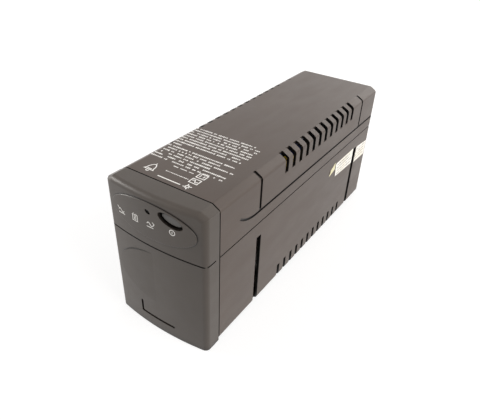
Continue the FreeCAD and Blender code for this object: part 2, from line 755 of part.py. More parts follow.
def front_board():
    """Small board that carries the switch, the light and the buzzer, screwed to two bosses."""
    board = box(0, f"{FRONT_BOARD_Y} - board_thickness / 2", front_board_low(), "front_board_width",
                "board_thickness", "front_board_height")
    holes = [rod(f"{hand} * (front_board_width / 2 - 4)", f"{FRONT_BOARD_FACE} - 1",
                 f"{front_board_low()} + 4",
                 "screw_radius + screw_clearance", 5, "y") for hand in SIDES]
    name(cut(board, *holes), "front_board")
    screws = [screw(f"{hand} * (front_board_width / 2 - 4)", FRONT_BOARD_Y, f"{front_board_low()} + 4", 8,
                    "y", -1)
              for hand in SIDES]
    name(group(*screws), "front_board_screws")
    can = cut(rod(-22, f"{FRONT_BOARD_FACE} - 7.5", "button_z - 3", 6, 7.5, "y"),
              rod(-22, f"{FRONT_BOARD_FACE} - 8", "button_z - 3", 1, 2, "y"))
    name(can, "buzzer")
    lamp = fuse(rod("lamp_x", f"{FRONT_BOARD_FACE} - 4", "lamp_z", 2.5, 4, "y"),
                rod("lamp_x", f"{FRONT_BOARD_FACE} - 1", "lamp_z", 2.9, 1, "y"))
    name(lamp, "status_lamp")
    start = f"({BEZEL_BACK} - bezel_depth - bow + seam_gap + 0.6)"
    end = f"({FRONT_BOARD_FACE} - 4 - fit_gap)"
    pipe = oval("lamp_width - 0.3", "lamp_height - 0.3", start, f"{end} - {start}", "lamp_x", "lamp_z",
                "lamp_tilt")
    name(pipe, "light_pipe")


# ---------------------------------------------------------------- battery and its bracket

def battery():
    """Sealed battery: jar, glued lid with a vent strip, and two blade terminals."""
    middle = f"({BATTERY_Y} + battery_length / 2)"
    jar = box(0, middle, BATTERY_Z, "battery_width", "battery_length",
              "battery_height - battery_lid - fit_gap")
    jar = round_solid(jar, 2.0, lambda point,
                      edge: abs(edge.Length - value("battery_height - battery_lid - fit_gap")) < 0.1)
    name(jar, "battery_jar")
    lid = box(0, middle, f"{BATTERY_TOP} - battery_lid", "battery_width", "battery_length", "battery_lid")
    lid = round_solid(lid, 2.0, lambda point, edge: abs(edge.Length - value("battery_lid")) < 0.1)
    strip = box(0, middle, f"{BATTERY_TOP} - 0.6", "battery_width - 34", "battery_length - 40", 2)
    wells = [box(f"{hand} * (battery_width / 2 - 9)", f"{BATTERY_Y} + 9", f"{BATTERY_TOP} - 1.5", 12, 10, 3)
             for hand in SIDES]
    name(cut(lid, strip, *wells), "battery_lid")
    tabs = []
    for hand in SIDES:
        foot = box(f"{hand} * (battery_width / 2 - 9)", f"{BATTERY_Y} + 9", f"{BATTERY_TOP} - 1.5", 8, 6, 1)
        blade = box(f"{hand} * (battery_width / 2 - 9)", f"{BATTERY_Y} + 9", f"{BATTERY_TOP} - 1.5",
                    "tab_width", "tab_thick", "tab_height + 1.5")
        hole = rod(f"{hand} * (battery_width / 2 - 9)", f"{BATTERY_Y} + 5", f"{BATTERY_TOP} + 3.4", 0.9, 8,
                   "y")
        tabs.append(cut(fuse(foot, blade), hole))
    name(group(*tabs), "battery_terminals")
    pads = []
    for y in (f"{middle} - 50", f"{middle} + 50"):
        pads.append(box(0, y, FLOOR, "battery_width - 6", 30, "pad_thick"))
        pads.append(box(0, f"{y} + 4", BATTERY_TOP, "battery_width - 10", 20, "deck_gap"))
    for hand in SIDES:
        pads.append(box(f"{hand} * (battery_width / 2 + side_pad_thick / 2)", middle, f"{FLOOR} + 20",
                        "side_pad_thick", "leg_width - 6", 60))
    name(group(*pads), "battery_pads")


def battery_bracket():
    """Bent steel bridge over the battery: it holds the battery down and carries the main board."""
    leg_middle = f"({BATTERY_Y} + battery_length / 2)"
    deck_middle = f"({DECK_Y} + deck_length / 2)"
    deck = box(0, deck_middle, DECK_LOW, f"2 * {LEG_X} + 2 * sheet_thick", "deck_length", "sheet_thick")
    foot_level = f"({FLOOR} + boss_height)"
    pieces = [deck]
    for hand in SIDES:
        pieces.append(box(f"{hand} * ({LEG_X} + sheet_thick / 2)", leg_middle, foot_level, "sheet_thick",
                          "leg_width", f"{DECK_TOP} - {foot_level}"))
        pieces.append(box(f"{hand} * ({LEG_X} + foot_flange / 2)", leg_middle, foot_level, "foot_flange",
                          "leg_width", "sheet_thick"))
    holes = []
    screws = []
    for hand in SIDES:
        for y in bracket_screw_ys():
            spot = f"{hand} * ({LEG_X} + foot_flange - 4)"
            holes.append(rod(spot, y, f"{foot_level} - 1", "screw_radius + screw_clearance", 5))
            screws.append(screw(spot, y, f"{foot_level} + sheet_thick", f"sheet_thick + boss_height - 0.5",
                                "z", -1))
        for x, y in board_corners():
            holes.append(rod(f"{hand} * {x}", y, f"{DECK_LOW} - 1", "screw_radius + screw_clearance", 4))
    name(cut(fuse(*pieces), *holes), "battery_bracket")
    name(group(*screws), "bracket_screws")


def board_corners():
    """The main board's four screw places."""
    return (("(board_width / 2 - 9)", f"({BOARD_Y} + 5)"),
            ("(board_width / 2 - 9)", f"({BOARD_Y} + {BOARD_LENGTH} - 5)"))


# ---------------------------------------------------------------- main board

def on_board(x, y, height, width, depth, lift=0):
    """A block on the main board; y runs back from the board's front edge."""
    return box(x, f"{BOARD_Y} + {y}", f"{BOARD_TOP} + {lift}", width, depth, height)


def main_board():
    """Board on four posts, with its relays, heat sinks, capacitors and connectors."""
    middle = f"({BOARD_Y} + {BOARD_LENGTH} / 2)"
    board = box(0, middle, BOARD_LOW, "board_width", BOARD_LENGTH, "board_thickness")
    holes, posts, screws = [], [], []
    for hand in SIDES:
        for x, y in board_corners():
            spot = f"{hand} * {x}"
            holes.append(rod(spot, y, f"{BOARD_LOW} - 1", "screw_radius + screw_clearance", 5))
            posts.append(cut(rod(spot, y, DECK_TOP, "standoff_radius", "standoff_height"),
                             rod(spot, y, f"{DECK_TOP} - 1", "screw_radius + screw_clearance",
                                 "standoff_height + 2")))
            screws.append(screw(spot, y, BOARD_TOP, "board_thickness + standoff_height - 0.5", "z", -1))
    name(cut(board, *holes), "main_board")
    name(group(*posts), "board_posts")
    name(group(*screws), "board_screws")
    name(group(*[on_board(24, 24 + 22 * row, 15.4, 16, 19) for row in range(3)]), "relays")
    sinks, chips = [], []
    for x in (-34, -8):
        plate = on_board(x, 58, 21, 3, 56)
        fins = [on_board(f"{x} + 4", 33 + 5.5 * row, 21, 8, 1.4) for row in range(10)]
        sinks.append(fuse(plate, *fins))
        for row in range(4):
            chips.append(fuse(on_board(f"{x} - 4.05", 37 + 14 * row, 10, 4.5, 10, 3),
                              on_board(f"{x} - 1.9", 37 + 14 * row, 16, 0.8, 10, 3),
                              on_board(f"{x} - 4.05", 37 + 14 * row, 3.2, 0.8, 6.4)))
    name(group(*sinks), "heat_sinks")
    name(group(*chips), "power_transistors")
    cans = []
    for x, y, radius, tall in ((12, 100, 8, 20), (30, 104, 8, 20), (-34, 104, 6.3, 16), (-18, 104, 6.3, 16)):
        can = rod(x, f"{BOARD_Y} + {y}", BOARD_TOP, radius, tall)
        cans.append(round_solid(can, 0.8, lambda point, edge: edge.Length > 30))
    name(group(*cans), "filter_capacitors")
    name(group(on_board(38, 46, 11, 7, 26), on_board(38, 76, 11, 7, 18)), "film_capacitors")
    discs = [rod(f"{x} - 2", f"{BOARD_Y} + 8", f"{BOARD_TOP} + 6.8", 6.5, 4, "x") for x in (8, 16)]
    name(group(*discs), "surge_varistors")
    holder = cut(on_board(-8, 11, 9, 22, 9), on_board(-8, 11, 9, 19.4, 4.4, 2))
    name(holder, "fuse_holder")
    name(fuse(on_board(-8, 11, 7, 19, 4, 2.2), on_board(-8, 11, 6, 20.6, 5, 9)), "blade_fuse")
    name(group(on_board(6, 79, 3.4, 9, 24), on_board(-21, 82, 2.6, 10, 12)), "control_chips")
    ports = [on_board(-12, 124, 8, 30, 8), on_board(19, 124, 8, 18, 8), on_board(-26, 18, 7, 12, 6)]
    name(group(*ports), "board_connectors")


# ---------------------------------------------------------------- transformer

def transformer():
    """Laminated core with a bobbin and winding on its middle leg, under a steel strap."""
    core = box(0, CORE_Y, CORE_Z, "core_width", "core_stack", "core_height")
    window_width = "(core_width / 2 - 2 * core_leg)"
    window_x = f"(core_leg + {window_width} / 2)"
    windows = [box(f"{hand} * {window_x}", CORE_Y, f"{CORE_Z} + core_leg", window_width,
                   "core_stack + 2", "core_height - 2 * core_leg") for hand in SIDES]
    name(cut(core, *windows), "transformer_core")
    leg = "(2 * core_leg)"
    window_high = "(core_height - 2 * core_leg)"
    low = f"({CORE_Z} + core_leg)"

    def sleeve(grow, height, lift):
        return box(0, CORE_Y, f"{low} + {lift}", f"{leg} + 2 * ({grow})", f"core_stack + 2 * ({grow})",
                   height)

    tube_part = sleeve("fit_gap + bobbin_wall", f"{window_high} - 2 * fit_gap", "fit_gap")
    flanges = [sleeve("winding_build", 1.4, lift) for lift in ("fit_gap", f"{window_high} - fit_gap - 1.4")]
    name(cut(fuse(tube_part, *flanges), sleeve("fit_gap", window_high, 0)), "transformer_bobbin")
    coil_low = "fit_gap + 1.5"
    coil_high = f"{window_high} - 2 * fit_gap - 3"
    coil = sleeve("winding_build - 0.6", coil_high, coil_low)
    coil_length = value(coil_high)
    coil = round_solid(coil, 5, lambda point, edge: abs(edge.Length - coil_length) < 0.1)
    name(cut(coil, sleeve("fit_gap + bobbin_wall + 0.1", window_high, 0)), "transformer_winding")
    strap_x = "(core_width / 2 + fit_gap)"
    top = f"({CORE_Z} + core_height + fit_gap)"
    foot_level = f"({FLOOR} + boss_height)"
    strap = [box(0, CORE_Y, top, f"2 * {strap_x} + 2 * sheet_thick", 36, "sheet_thick")]
    holes, screws = [], []
    for hand in SIDES:
        strap.append(box(f"{hand} * ({strap_x} + sheet_thick / 2)", CORE_Y, foot_level, "sheet_thick", 36,
                         f"{top} + sheet_thick - {foot_level}"))
        strap.append(box(f"{hand} * ({strap_x} + sheet_thick + 3.6)", CORE_Y, foot_level, 7.4, 36,
                         "sheet_thick"))
        for y in transformer_screw_ys():
            spot = f"{hand} * {strap_screw_x()}"
            holes.append(rod(spot, y, f"{foot_level} - 1", "screw_radius + screw_clearance", 4))
            screws.append(screw(spot, y, f"{foot_level} + sheet_thick", "sheet_thick + boss_height - 0.5",
                                "z", -1))
    name(cut(fuse(*strap), *holes), "transformer_strap")
    name(group(*screws), "transformer_screws")


# ---------------------------------------------------------------- rear panel

def outlet_spots():
    """Middles of the four outlets."""
    return [(f"{hand} * outlet_x",
             f"(outlet_low + {row} * socket_step)") for row in range(2) for hand in SIDES]


def rear_panel():
    """Flat panel held between rails of the cover and the base."""
    panel = pad(housing_section("(wall + fit_gap)"), "XZ_Plane", "panel_thick",
                f"({PANEL_OUT} + {PANEL_IN}) / 2")
    middle = f"({PANEL_OUT} + {PANEL_IN}) / 2"
    cuts = [box("inlet_x", middle, "inlet_z - 10", 27.6, 6, 20),
            rod("breaker_x", f"{PANEL_IN} - 1", "breaker_z", "breaker_radius + fit_gap", 6, "y"),
            box("jack_x", middle, "port_z - 7.6", 32, 6, 15.2),
            box("usb_x", middle, "port_z - 5.7", 12.6, 6, 11.4),
            rod("earth_x", f"{PANEL_IN} - 1", "port_z", "screw_radius + screw_clearance", 6, "y")]
    for x, z in outlet_spots():
        cuts.append(box(x, middle, f"{z} - 12.2", 32.4, 6, 24.4))
    return name(cut(panel, *cuts), "rear_panel")


def socket(x, z, width, height, edge):
    """Body and flange of an appliance socket; the flange lies on the panel's outer face."""
    body = box(x, f"{PANEL_OUT} - socket_depth / 2 + 0.1", f"{z} - ({height}) / 2", width,
               "socket_depth + 0.2", height)
    rim = box(x, f"{PANEL_OUT} + flange_thick / 2", f"{z} - ({height}) / 2 - {edge}",
              f"{width} + 2 * {edge}", "flange_thick", f"{height} + 2 * {edge}")
    long_edge = value("flange_thick")
    rim = round_solid(rim, 1.6, lambda point, each: abs(each.Length - long_edge) < 0.01)
    return fuse(body, rim)


def mains_inlet():
    """Three-pin appliance inlet: a shrouded well with bevelled upper corners and three pins."""
    frame = socket("inlet_x", "inlet_z", 27, 19.4, 2)
    well = box("inlet_x", f"{PANEL_OUT} + flange_thick + 1 - 8.5", "inlet_z - 8.2", 24, 17, 16.4)
    depth = 17
    top = value("inlet_z + 8.2")

    def upper(point, edge):
        return abs(edge.Length - depth) < 0.01 and abs(point.z - top) < 0.01

    well = round_solid(well, 3.5, upper)
    pins = []
    holes = []
    for x, z in ((-7, -1.5), (0, 2.5), (7, -1.5)):
        pins.append(box(f"inlet_x + {x}", f"{PANEL_OUT} - socket_depth / 2 - 3", f"inlet_z + {z} - 2",
                        2, "socket_depth + 2", 4))
        holes.append(box(f"inlet_x + {x}", f"{PANEL_OUT} - socket_depth", f"inlet_z + {z} - 2.05", 2.1, 20,
                         4.1))
    name(cut(frame, well, *holes), "mains_inlet")
    name(group(*pins), "inlet_pins")


def outlets():
    """Four appliance outlets; each has a moat round a block with three contact slots."""
    bodies, contacts = [], []
    for x, z in outlet_spots():
        frame = socket(x, z, 32, 24, 1.6)
        moat = box(x, f"{PANEL_OUT} + flange_thick + 1 - 8.5", f"{z} - 10.6", 28.6, 17, 21.2)
        block = box(x, f"{PANEL_OUT} + flange_thick - 9", f"{z} - 7.8", 23, 18, 15.6)
        ring = cut(moat, block)
        slots = []
        for across, up in ((-7, 1.5), (0, -2.5), (7, 1.5)):
            slots.append(box(f"{x} + {across}", f"{PANEL_OUT} + flange_thick - 9", f"{z} + {up} - 2.6", 2.6,
                             20, 5.2))
            contacts.append(box(f"{x} + {across}", f"{PANEL_OUT} - socket_depth / 2 - 4", f"{z} + {up} - 2.4",
                                0.8, "socket_depth", 4.8))
            slots.append(box(f"{x} + {across}", f"{PANEL_OUT} - socket_depth + 4", f"{z} + {up} - 2.5", 1,
                             20, 5))
        bodies.append(cut(frame, ring, *slots))
    name(group(*bodies), "output_outlets")
    name(group(*contacts), "outlet_contacts")


def breaker():
    """Push-to-reset circuit breaker: body behind the panel, collar outside, sliding button."""
    barrel = rod("breaker_x", f"{PANEL_OUT} - 4", "breaker_z", "breaker_radius", "4 + flange_thick", "y")
    block = box("breaker_x", f"{PANEL_IN} - 11", "breaker_z - 9", 16, 21.8, 18)
    well = rod("breaker_x", f"{PANEL_OUT} - 14", "breaker_z", 3.4, 30, "y")
    tabs = [box(f"breaker_x + {hand} * 4", f"{PANEL_IN} - 25", "breaker_z - 3", 0.8, 7, 6) for hand in SIDES]
    name(fuse(cut(fuse(barrel, block), well), *tabs), "breaker_body")
    ring = rod("breaker_x", PANEL_OUT, "breaker_z", 8, 1.8, "y")
    ring = round_solid(ring, 0.6, lambda point, edge: point.y > value(PANEL_OUT) + 1 and edge.Length > 40)
    name(cut(ring, rod("breaker_x", f"{PANEL_OUT} - 1", "breaker_z", "breaker_radius + 0.15", 5, "y")),
         "breaker_collar")
    length = "(12 + breaker_travel)"
    shaft = rod("breaker_x", f"{BREAKER_TIP} - {length}", "breaker_z", 3.0, length, "y")
    shaft = round_solid(shaft, 0.8, lambda point,
                        edge: point.y > value(BREAKER_TIP) - 0.1 and edge.Length > 15)
    name(shaft, "breaker_button")


def ports():
    """Twin surge-protected data jack, a square data port and the earth screw."""
    block = box("jack_x", f"{PANEL_OUT} - 8 + 0.6", "port_z - 7.4", 31.6, 17.2, 14.8)
    mouths, latches, springs = [], [], []
    for across in (-7.6, 7.6):
        x = f"jack_x + {across}"
        mouths.append(box(x, f"{PANEL_OUT} - 5", "port_z - 4.4", 11.8, 14, 7.6))
        latches.append(box(x, f"{PANEL_OUT} - 5", "port_z + 3.1", 6.2, 14, 2.2))
        for row in range(8):
            across_row = f"{x} + {row - 3.5} * 1.02"
            wire = box(across_row, f"{PANEL_OUT} - 6.7", "port_z - 3.4", 0.35, 10, 0.35)
            foot = box(across_row, f"{PANEL_OUT} - 11.8", "port_z - 4.4", 0.35, 0.35, 1.2)
            springs.append(fuse(wire, foot))
    name(cut(block, *mouths, *latches), "data_jacks")
    name(group(*springs), "jack_contacts")
    shell = box("usb_x", f"{PANEL_OUT} - 8 + 0.6", "port_z - 5.5", 12.2, 17.2, 11)
    mouth = box("usb_x", f"{PANEL_OUT} - 4", "port_z - 4.1", 9, 12, 8.2)
    tongue = box("usb_x", f"{PANEL_OUT} - 5.5", "port_z - 1.6", 5.8, 10, 3.2)
    name(fuse(cut(shell, mouth), tongue), "data_port")
    earth = screw("earth_x", PANEL_OUT, "port_z", 9, "y", -1)
    name(earth, "earth_screw")


# ---------------------------------------------------------------- wiring and label

def wiring():
    """Leads between the battery, the transformer, the boards and the rear panel."""
    terminal_x = "(battery_width / 2 - 9)"
    terminal_y = f"({BATTERY_Y} + 9)"
    sleeves = []
    for hand in SIDES:
        sleeve = box(f"{hand} * {terminal_x}", terminal_y, f"{BATTERY_TOP} + 1", 8, 3.4, 10)
        slit = box(f"{hand} * {terminal_x}", terminal_y, f"{BATTERY_TOP} + 0.5", "tab_width + 0.2",
                   "tab_thick + 0.2", 6)
        sleeves.append(cut(sleeve, slit))
    name(group(*sleeves), "lead_connectors")
    for hand, label in ((-1, "red_lead"), (1, "black_lead")):
        x = f"{hand} * {terminal_x}"
        land = f"{hand} * ({terminal_x} + 2.5)"
        route = [(x, terminal_y, f"{BATTERY_TOP} + 11"),
                 (x, terminal_y, f"{BOARD_TOP} + 8"),
                 (x, f"{terminal_y} + 8", f"{BOARD_TOP} + 17"),
                 (land, f"{BOARD_Y} + 9", f"{BOARD_TOP} + 13"),
                 (land, f"{BOARD_Y} + 9", BOARD_TOP)]
        cables(label, [route], 1.7)
    coil_top = f"({CORE_Z} + core_height - core_leg - fit_gap)"
    edge_y = f"({BOARD_Y} + 128.2)"
    routes = []
    for across in (-21, -15, -9, -3):
        routes.append([(f"{across}", f"{CORE_Y} - core_stack / 2 - 8", coil_top),
                       (f"{across}", f"{CORE_Y} - core_stack / 2 - 8", f"{coil_top} + 25"),
                       (f"{across}", f"{CORE_Y} - core_stack / 2 - 12", f"{BOARD_TOP} + 4"),
                       (f"{across}", edge_y, f"{BOARD_TOP} + 4")])
    cables("transformer_leads", routes, 1.3)
    pin_y = f"({PANEL_OUT} - socket_depth - 4)"
    live = []
    for across, level, land in ((-7, 0, 16), (7, 7, 22)):
        x = f"(inlet_x + {across})"
        live.append([(x, pin_y, "inlet_z - 1.5"),
                     (x, f"{pin_y} - 9", "inlet_z - 1.5"),
                     (x, f"{pin_y} - 9", f"{BOARD_TOP} - 24 + {level}"),
                     (f"{x} + 6", f"{CORE_Y} + 8", f"{BOARD_TOP} - 10 + {level}"),
                     (f"{land}", f"{CORE_Y} - core_stack / 2 - 6", f"{BOARD_TOP} + 4"),
                     (f"{land}", edge_y, f"{BOARD_TOP} + 4")])
    cables("mains_wires", live, 1.3)
    earth_y = f"({pin_y} - 4.5)"
    earth = [("inlet_x", pin_y, "inlet_z + 2.5"),
             ("inlet_x", earth_y, "inlet_z + 2.5"),
             ("inlet_x", earth_y, "inlet_z + 16"),
             ("earth_x - 8", earth_y, "port_z - 14"),
             ("earth_x", earth_y, "port_z"),
             ("earth_x", f"{PANEL_OUT} - 9.3", "port_z")]
    cables("earth_wire", [earth], 1.3)
    ribbon = [(-10, FRONT_BOARD_Y, "button_z - 4"),
              (-10, f"{FRONT_BOARD_Y} + 14", "button_z - 4"),
              (-14, f"{BOARD_Y} - 8", f"{BOARD_TOP} + 20"),
              (-26, f"{BOARD_Y} + 18", f"{BOARD_TOP} + 20"),
              (-26, f"{BOARD_Y} + 18", f"{BOARD_TOP} + 7")]
    cables("control_cable", [ribbon], 1.5)


def side_label():
    """Thin paper label on the right side of the base, near the rear, slit at the tall slot."""
    front = box(f"{HALF} + 0.06", f"{SEAM_Y} + 239", 64, 0.12, 47, 17)
    rear = box(f"{HALF} + 0.06", f"{SEAM_Y} + 286.5", 64, 0.12, 30, 17)
    return name(group(front, rear), "side_label")


# ---------------------------------------------------------------- build and write

def check_and_write():
    """Stop at any failed object, then write each sub-part to its own file."""
    doc.recompute()
    faults = []
    for item in doc.Objects:
        if "Invalid" in item.State or "Error" in item.State:
            faults.append(f"{item.Name} failed: {item.State}")
        if item.TypeId == "Part::Cut" and not item.Shape.isNull():
            if item.Base.Shape.Volume - item.Shape.Volume < 1e-3:
                faults.append(f"{item.Name} cuts nothing")
    for label, item in nodes.items():
        shape = item.Shape
        if shape.isNull() or not shape.isValid() or not shape.Solids:
            faults.append(f"{label} has no valid solid")
    if faults:
        raise RuntimeError("; ".join(faults))
    os.makedirs(STEP_FOLDER, exist_ok=True)
    for label, item in nodes.items():
        item.Shape.exportStep(f"{STEP_FOLDER}/{label}.step")
        print(f"{label}: {len(item.Shape.Solids)} solid(s), {item.Shape.Volume / 1000:.2f} cm3")


for make in (top_cover, base_shell, rubber_feet, housing_screws, front_bezel, power_button, power_switch,
             front_board, battery, battery_bracket, main_board, transformer, rear_panel, mains_inlet, outlets,
             breaker, ports, wiring, side_label):
    make()
check_and_write()
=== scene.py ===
"""Looks of a small tower uninterruptible power supply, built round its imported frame.

The frame holds every mechanical piece at its real size. This script gives each of them its finish
and adds what is printed on the housing and what is stuck to it. Blender's unit is the metre; sizes
are written in millimetres and turned into metres with MM. The frame's +X is to the right seen from
the front, +Y runs from the front bezel to the rear panel and +Z is up.
"""

import json
import logging
import math
from collections.abc import Callable, Iterable
from dataclasses import dataclass
from enum import Enum

import bmesh
import bpy
from mathutils import Matrix, Vector
from mathutils.bvhtree import BVHTree

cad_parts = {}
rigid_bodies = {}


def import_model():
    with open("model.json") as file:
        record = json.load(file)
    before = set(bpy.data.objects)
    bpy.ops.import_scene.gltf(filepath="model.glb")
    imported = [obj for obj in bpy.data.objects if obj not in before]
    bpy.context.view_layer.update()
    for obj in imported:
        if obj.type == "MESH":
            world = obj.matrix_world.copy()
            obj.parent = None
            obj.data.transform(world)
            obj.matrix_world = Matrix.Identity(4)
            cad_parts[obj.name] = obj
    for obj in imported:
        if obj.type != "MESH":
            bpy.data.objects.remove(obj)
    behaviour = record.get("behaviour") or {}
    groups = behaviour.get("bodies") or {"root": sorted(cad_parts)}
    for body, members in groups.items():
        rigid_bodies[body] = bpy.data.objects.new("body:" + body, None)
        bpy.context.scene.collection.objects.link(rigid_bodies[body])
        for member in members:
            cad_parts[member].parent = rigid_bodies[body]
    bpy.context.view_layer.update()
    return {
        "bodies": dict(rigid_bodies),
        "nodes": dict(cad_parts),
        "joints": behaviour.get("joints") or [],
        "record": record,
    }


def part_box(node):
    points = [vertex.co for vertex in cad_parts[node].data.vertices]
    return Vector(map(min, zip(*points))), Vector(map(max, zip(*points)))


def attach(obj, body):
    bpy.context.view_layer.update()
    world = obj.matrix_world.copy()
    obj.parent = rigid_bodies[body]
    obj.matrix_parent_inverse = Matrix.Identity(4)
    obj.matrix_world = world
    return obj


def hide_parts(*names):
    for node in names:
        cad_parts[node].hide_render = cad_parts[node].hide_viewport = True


LOG = logging.getLogger("tower_supply")
MM = 0.001
HOUSING = "housing"

Triple = tuple[float, float, float]
Spot = tuple[float, float]
Placer = Callable[[float, float, float], Vector]
Socket = bpy.types.NodeSocket


def shade(red: float, green: float, blue: float) -> Triple:
    """Turn a display colour into the linear one that shaders use.

    Args:
        red: Red from 0 to 255.
        green: Green from 0 to 255.
        blue: Blue from 0 to 255.

    Returns:
        The same colour with linear channels from 0 to 1.
    """
    knee, slope, offset, power = 0.04045, 12.92, 0.055, 2.4
    channels = [channel / 255 for channel in (red, green, blue)]
    return tuple(c / slope if c <= knee else ((c + offset) / (1 + offset)) ** power for c in channels)


def scaled(color: Triple, share: float) -> Triple:
    """A colour with its brightness scaled by a share."""
    return tuple(channel * share for channel in color)


# ---------------------------------------------------------------- node trees


class Graph:
    """A node tree with helpers that add nodes and link them."""

    def __init__(self, tree: bpy.types.NodeTree) -> None:
        """Take a tree in hand."""
        self.tree = tree

    def feed(self, socket: Socket, source: object) -> None:
        """Link an output to an input, or set a plain value on it."""
        if isinstance(source, Socket):
            self.tree.links.new(source, socket)
        else:
            socket.default_value = source

    def node(self, kind: str, links: dict[str | int, object], **settings: object) -> bpy.types.Node:
        """Add a node with its properties, links and plain values.

        Args:
            kind: The node's type.
            links: Under each input, an output to link from or a value to set.
            settings: The node's own properties.

        Returns:
            The node.
        """
        made = self.tree.nodes.new(kind)
        for key, setting in settings.items():
            setattr(made, key, setting)
        for socket, source in links.items():
            self.feed(made.inputs[socket], source)
        return made

    def math(self, operation: str, *terms: Socket | float) -> Socket:
        """The result of one operation on outputs or plain numbers."""
        return self.node("ShaderNodeMath", dict(enumerate(terms)), operation=operation).outputs[0]

    def parts(self, vector: Socket) -> tuple[Socket, ...]:
        """The three parts of a vector."""
        return tuple(self.node("ShaderNodeSeparateXYZ", {0: vector}).outputs)

    def seen_directly(self) -> Socket:
        """1 on camera, glossy and transmission rays, else 0."""
        rays = self.node("ShaderNodeLightPath", {}).outputs
        mirrored = self.math("MAXIMUM", rays["Is Camera Ray"], rays["Is Glossy Ray"])
        return self.math("MAXIMUM", mirrored, rays["Is Transmission Ray"])


class Surface(Graph):
    """A node material round one Principled shader, with helpers for procedural detail."""

    def __init__(self, name: str, color: Triple, roughness: float, metallic: float) -> None:
        """Make the material with its plain values set on the shader itself.

        Args:
            name: The material's name.
            color: Linear base colour.
            roughness: Roughness from 0 to 1.
            metallic: 1 on bare metal, else 0.
        """
        self.material = bpy.data.materials.new(name)
        self.material.use_nodes = True
        super().__init__(self.material.node_tree)
        self.shader = self.tree.nodes["Principled BSDF"]
        self.give("Base Color", (*color, 1.0))
        self.give("Roughness", roughness)
        self.give("Metallic", metallic)
        self.spot = self.node("ShaderNodeTexCoord", {}).outputs["Object"]

    def give(self, socket: str, source: object) -> None:
        """Set one of the shader's sockets to a plain value, or drive it with an output."""
        self.feed(self.shader.inputs[socket], source)

    def noise(self, size: float, detail: float = 2.0, stretch: Triple = (1.0, 1.0, 1.0)) -> Socket:
        """Cloudy values from 0 to 1.

        Args:
            size: Size of one cloud in metres.
            detail: How many finer layers it has.
            stretch: Scale along each axis; under 1 draws the clouds out.

        Returns:
            The value output.
        """
        spot = self.node("ShaderNodeMapping", {"Scale": stretch, "Vector": self.spot}).outputs["Vector"]
        links = {"Scale": 1 / size, "Detail": detail, "Vector": spot}
        return self.node("ShaderNodeTexNoise", links).outputs["Fac"]

    def cells(self, size: float, edges: bool = False) -> Socket:
        """Distance inside irregular cells, from their middles or from their edges."""
        links = {"Scale": 1 / size, "Vector": self.spot}
        feature = "DISTANCE_TO_EDGE" if edges else "F1"
        return self.node("ShaderNodeTexVoronoi", links, feature=feature).outputs["Distance"]

    def bands(self, pitch: float) -> Socket:
        """Smooth stripes from 0 to 1 that repeat along the object's length at a pitch in metres."""
        pitch_at_scale_one = math.pi / 10
        links = {"Scale": pitch_at_scale_one / pitch, "Vector": self.spot}
        return self.node("ShaderNodeTexWave", links, wave_type="BANDS", bands_direction="Y").outputs["Fac"]

    def span(self, source: Socket, low: float, high: float, start: float = 0.35,
             stop: float = 0.65) -> Socket:
        """Turn one range of values into another.

        Args:
            source: The value to change.
            low: Result at start and below.
            high: Result at stop and above.
            start: Value where the change begins.
            stop: Value where the change ends.

        Returns:
            The changed value.
        """
        links = {"Value": source, "From Min": start, "From Max": stop, "To Min": low, "To Max": high}
        return self.node("ShaderNodeMapRange", links, clamp=True).outputs["Result"]

    def tint(self, factor: Socket | float, first: Triple | Socket, second: Triple | Socket,
             blend: str = "MIX") -> Socket:
        """Mix two colours by a value.

        Args:
            factor: 0 gives the first colour and 1 the second.
            first: A colour or the output that carries one.
            second: A colour or the output that carries one.
            blend: How the second goes over the first.

        Returns:
            The mixed colour.
        """
        under, over = (color if isinstance(color, Socket) else (*color, 1.0) for color in (first, second))
        links = {0: factor, 6: under, 7: over}
        return self.node("ShaderNodeMix", links, data_type="RGBA", blend_type=blend).outputs[2]

    def open_sky(self, reach: float, shut: float = 0.68, clear: float = 0.98) -> Socket:
        """1 on open faces, falling to 0 deep inside gaps; it masks the painted shade there.

        Args:
            reach: How near the other wall of a gap counts, in metres.
            shut: Open share of the sky at which the painted shade is full.
            clear: Open share of the sky at which a spot is fully clear.

        Returns:
            The value.
        """
        shelter = self.node("ShaderNodeAmbientOcclusion", {"Distance": reach}, samples=12)
        return self.span(shelter.outputs["AO"], 0.0, 1.0, shut, clear)

    def uncut(self, front: float, rear: float) -> Socket:
        """0 on faces cut straight across the length between two planes, else 1; it masks the painted shade on
        slot walls.

        Args:
            front: Where the cut faces begin along the length, in metres.
            rear: Where they end.

        Returns:
            The value.
        """
        slanted, square = 0.6, 0.8
        normal = self.node("ShaderNodeNewGeometry", {}).outputs["True Normal"]
        facing, along = (self.parts(vector)[1] for vector in (normal, self.spot))
        within = self.math("COMPARE", along, (front + rear) / 2, (rear - front) / 2)
        straight = self.span(self.math("ABSOLUTE", facing), 0.0, 1.0, slanted, square)
        return self.math("SUBTRACT", 1.0, self.math("MULTIPLY", straight, within))

    def least(self, *sources: Socket) -> Socket:
        """The smallest of some values."""
        least = sources[0]
        for source in sources[1:]:
            least = self.math("MINIMUM", least, source)
        return least

    def paint(self, source: Socket) -> None:
        """Drive the base colour."""
        self.give("Base Color", source)

    def polish(self, source: Socket) -> None:
        """Drive the roughness."""
        self.give("Roughness", source)

    def relief(self, *layers: tuple[Socket, float]) -> None:
        """Raise the surface by layers of height, each with its depth in metres."""
        normal = None
        for height, depth in layers:
            links = {"Distance": depth, "Height": height}
            if normal is not None:
                links["Normal"] = normal
            normal = self.node("ShaderNodeBump", links).outputs["Normal"]
        self.give("Normal", normal)


# ---------------------------------------------------------------- finishes


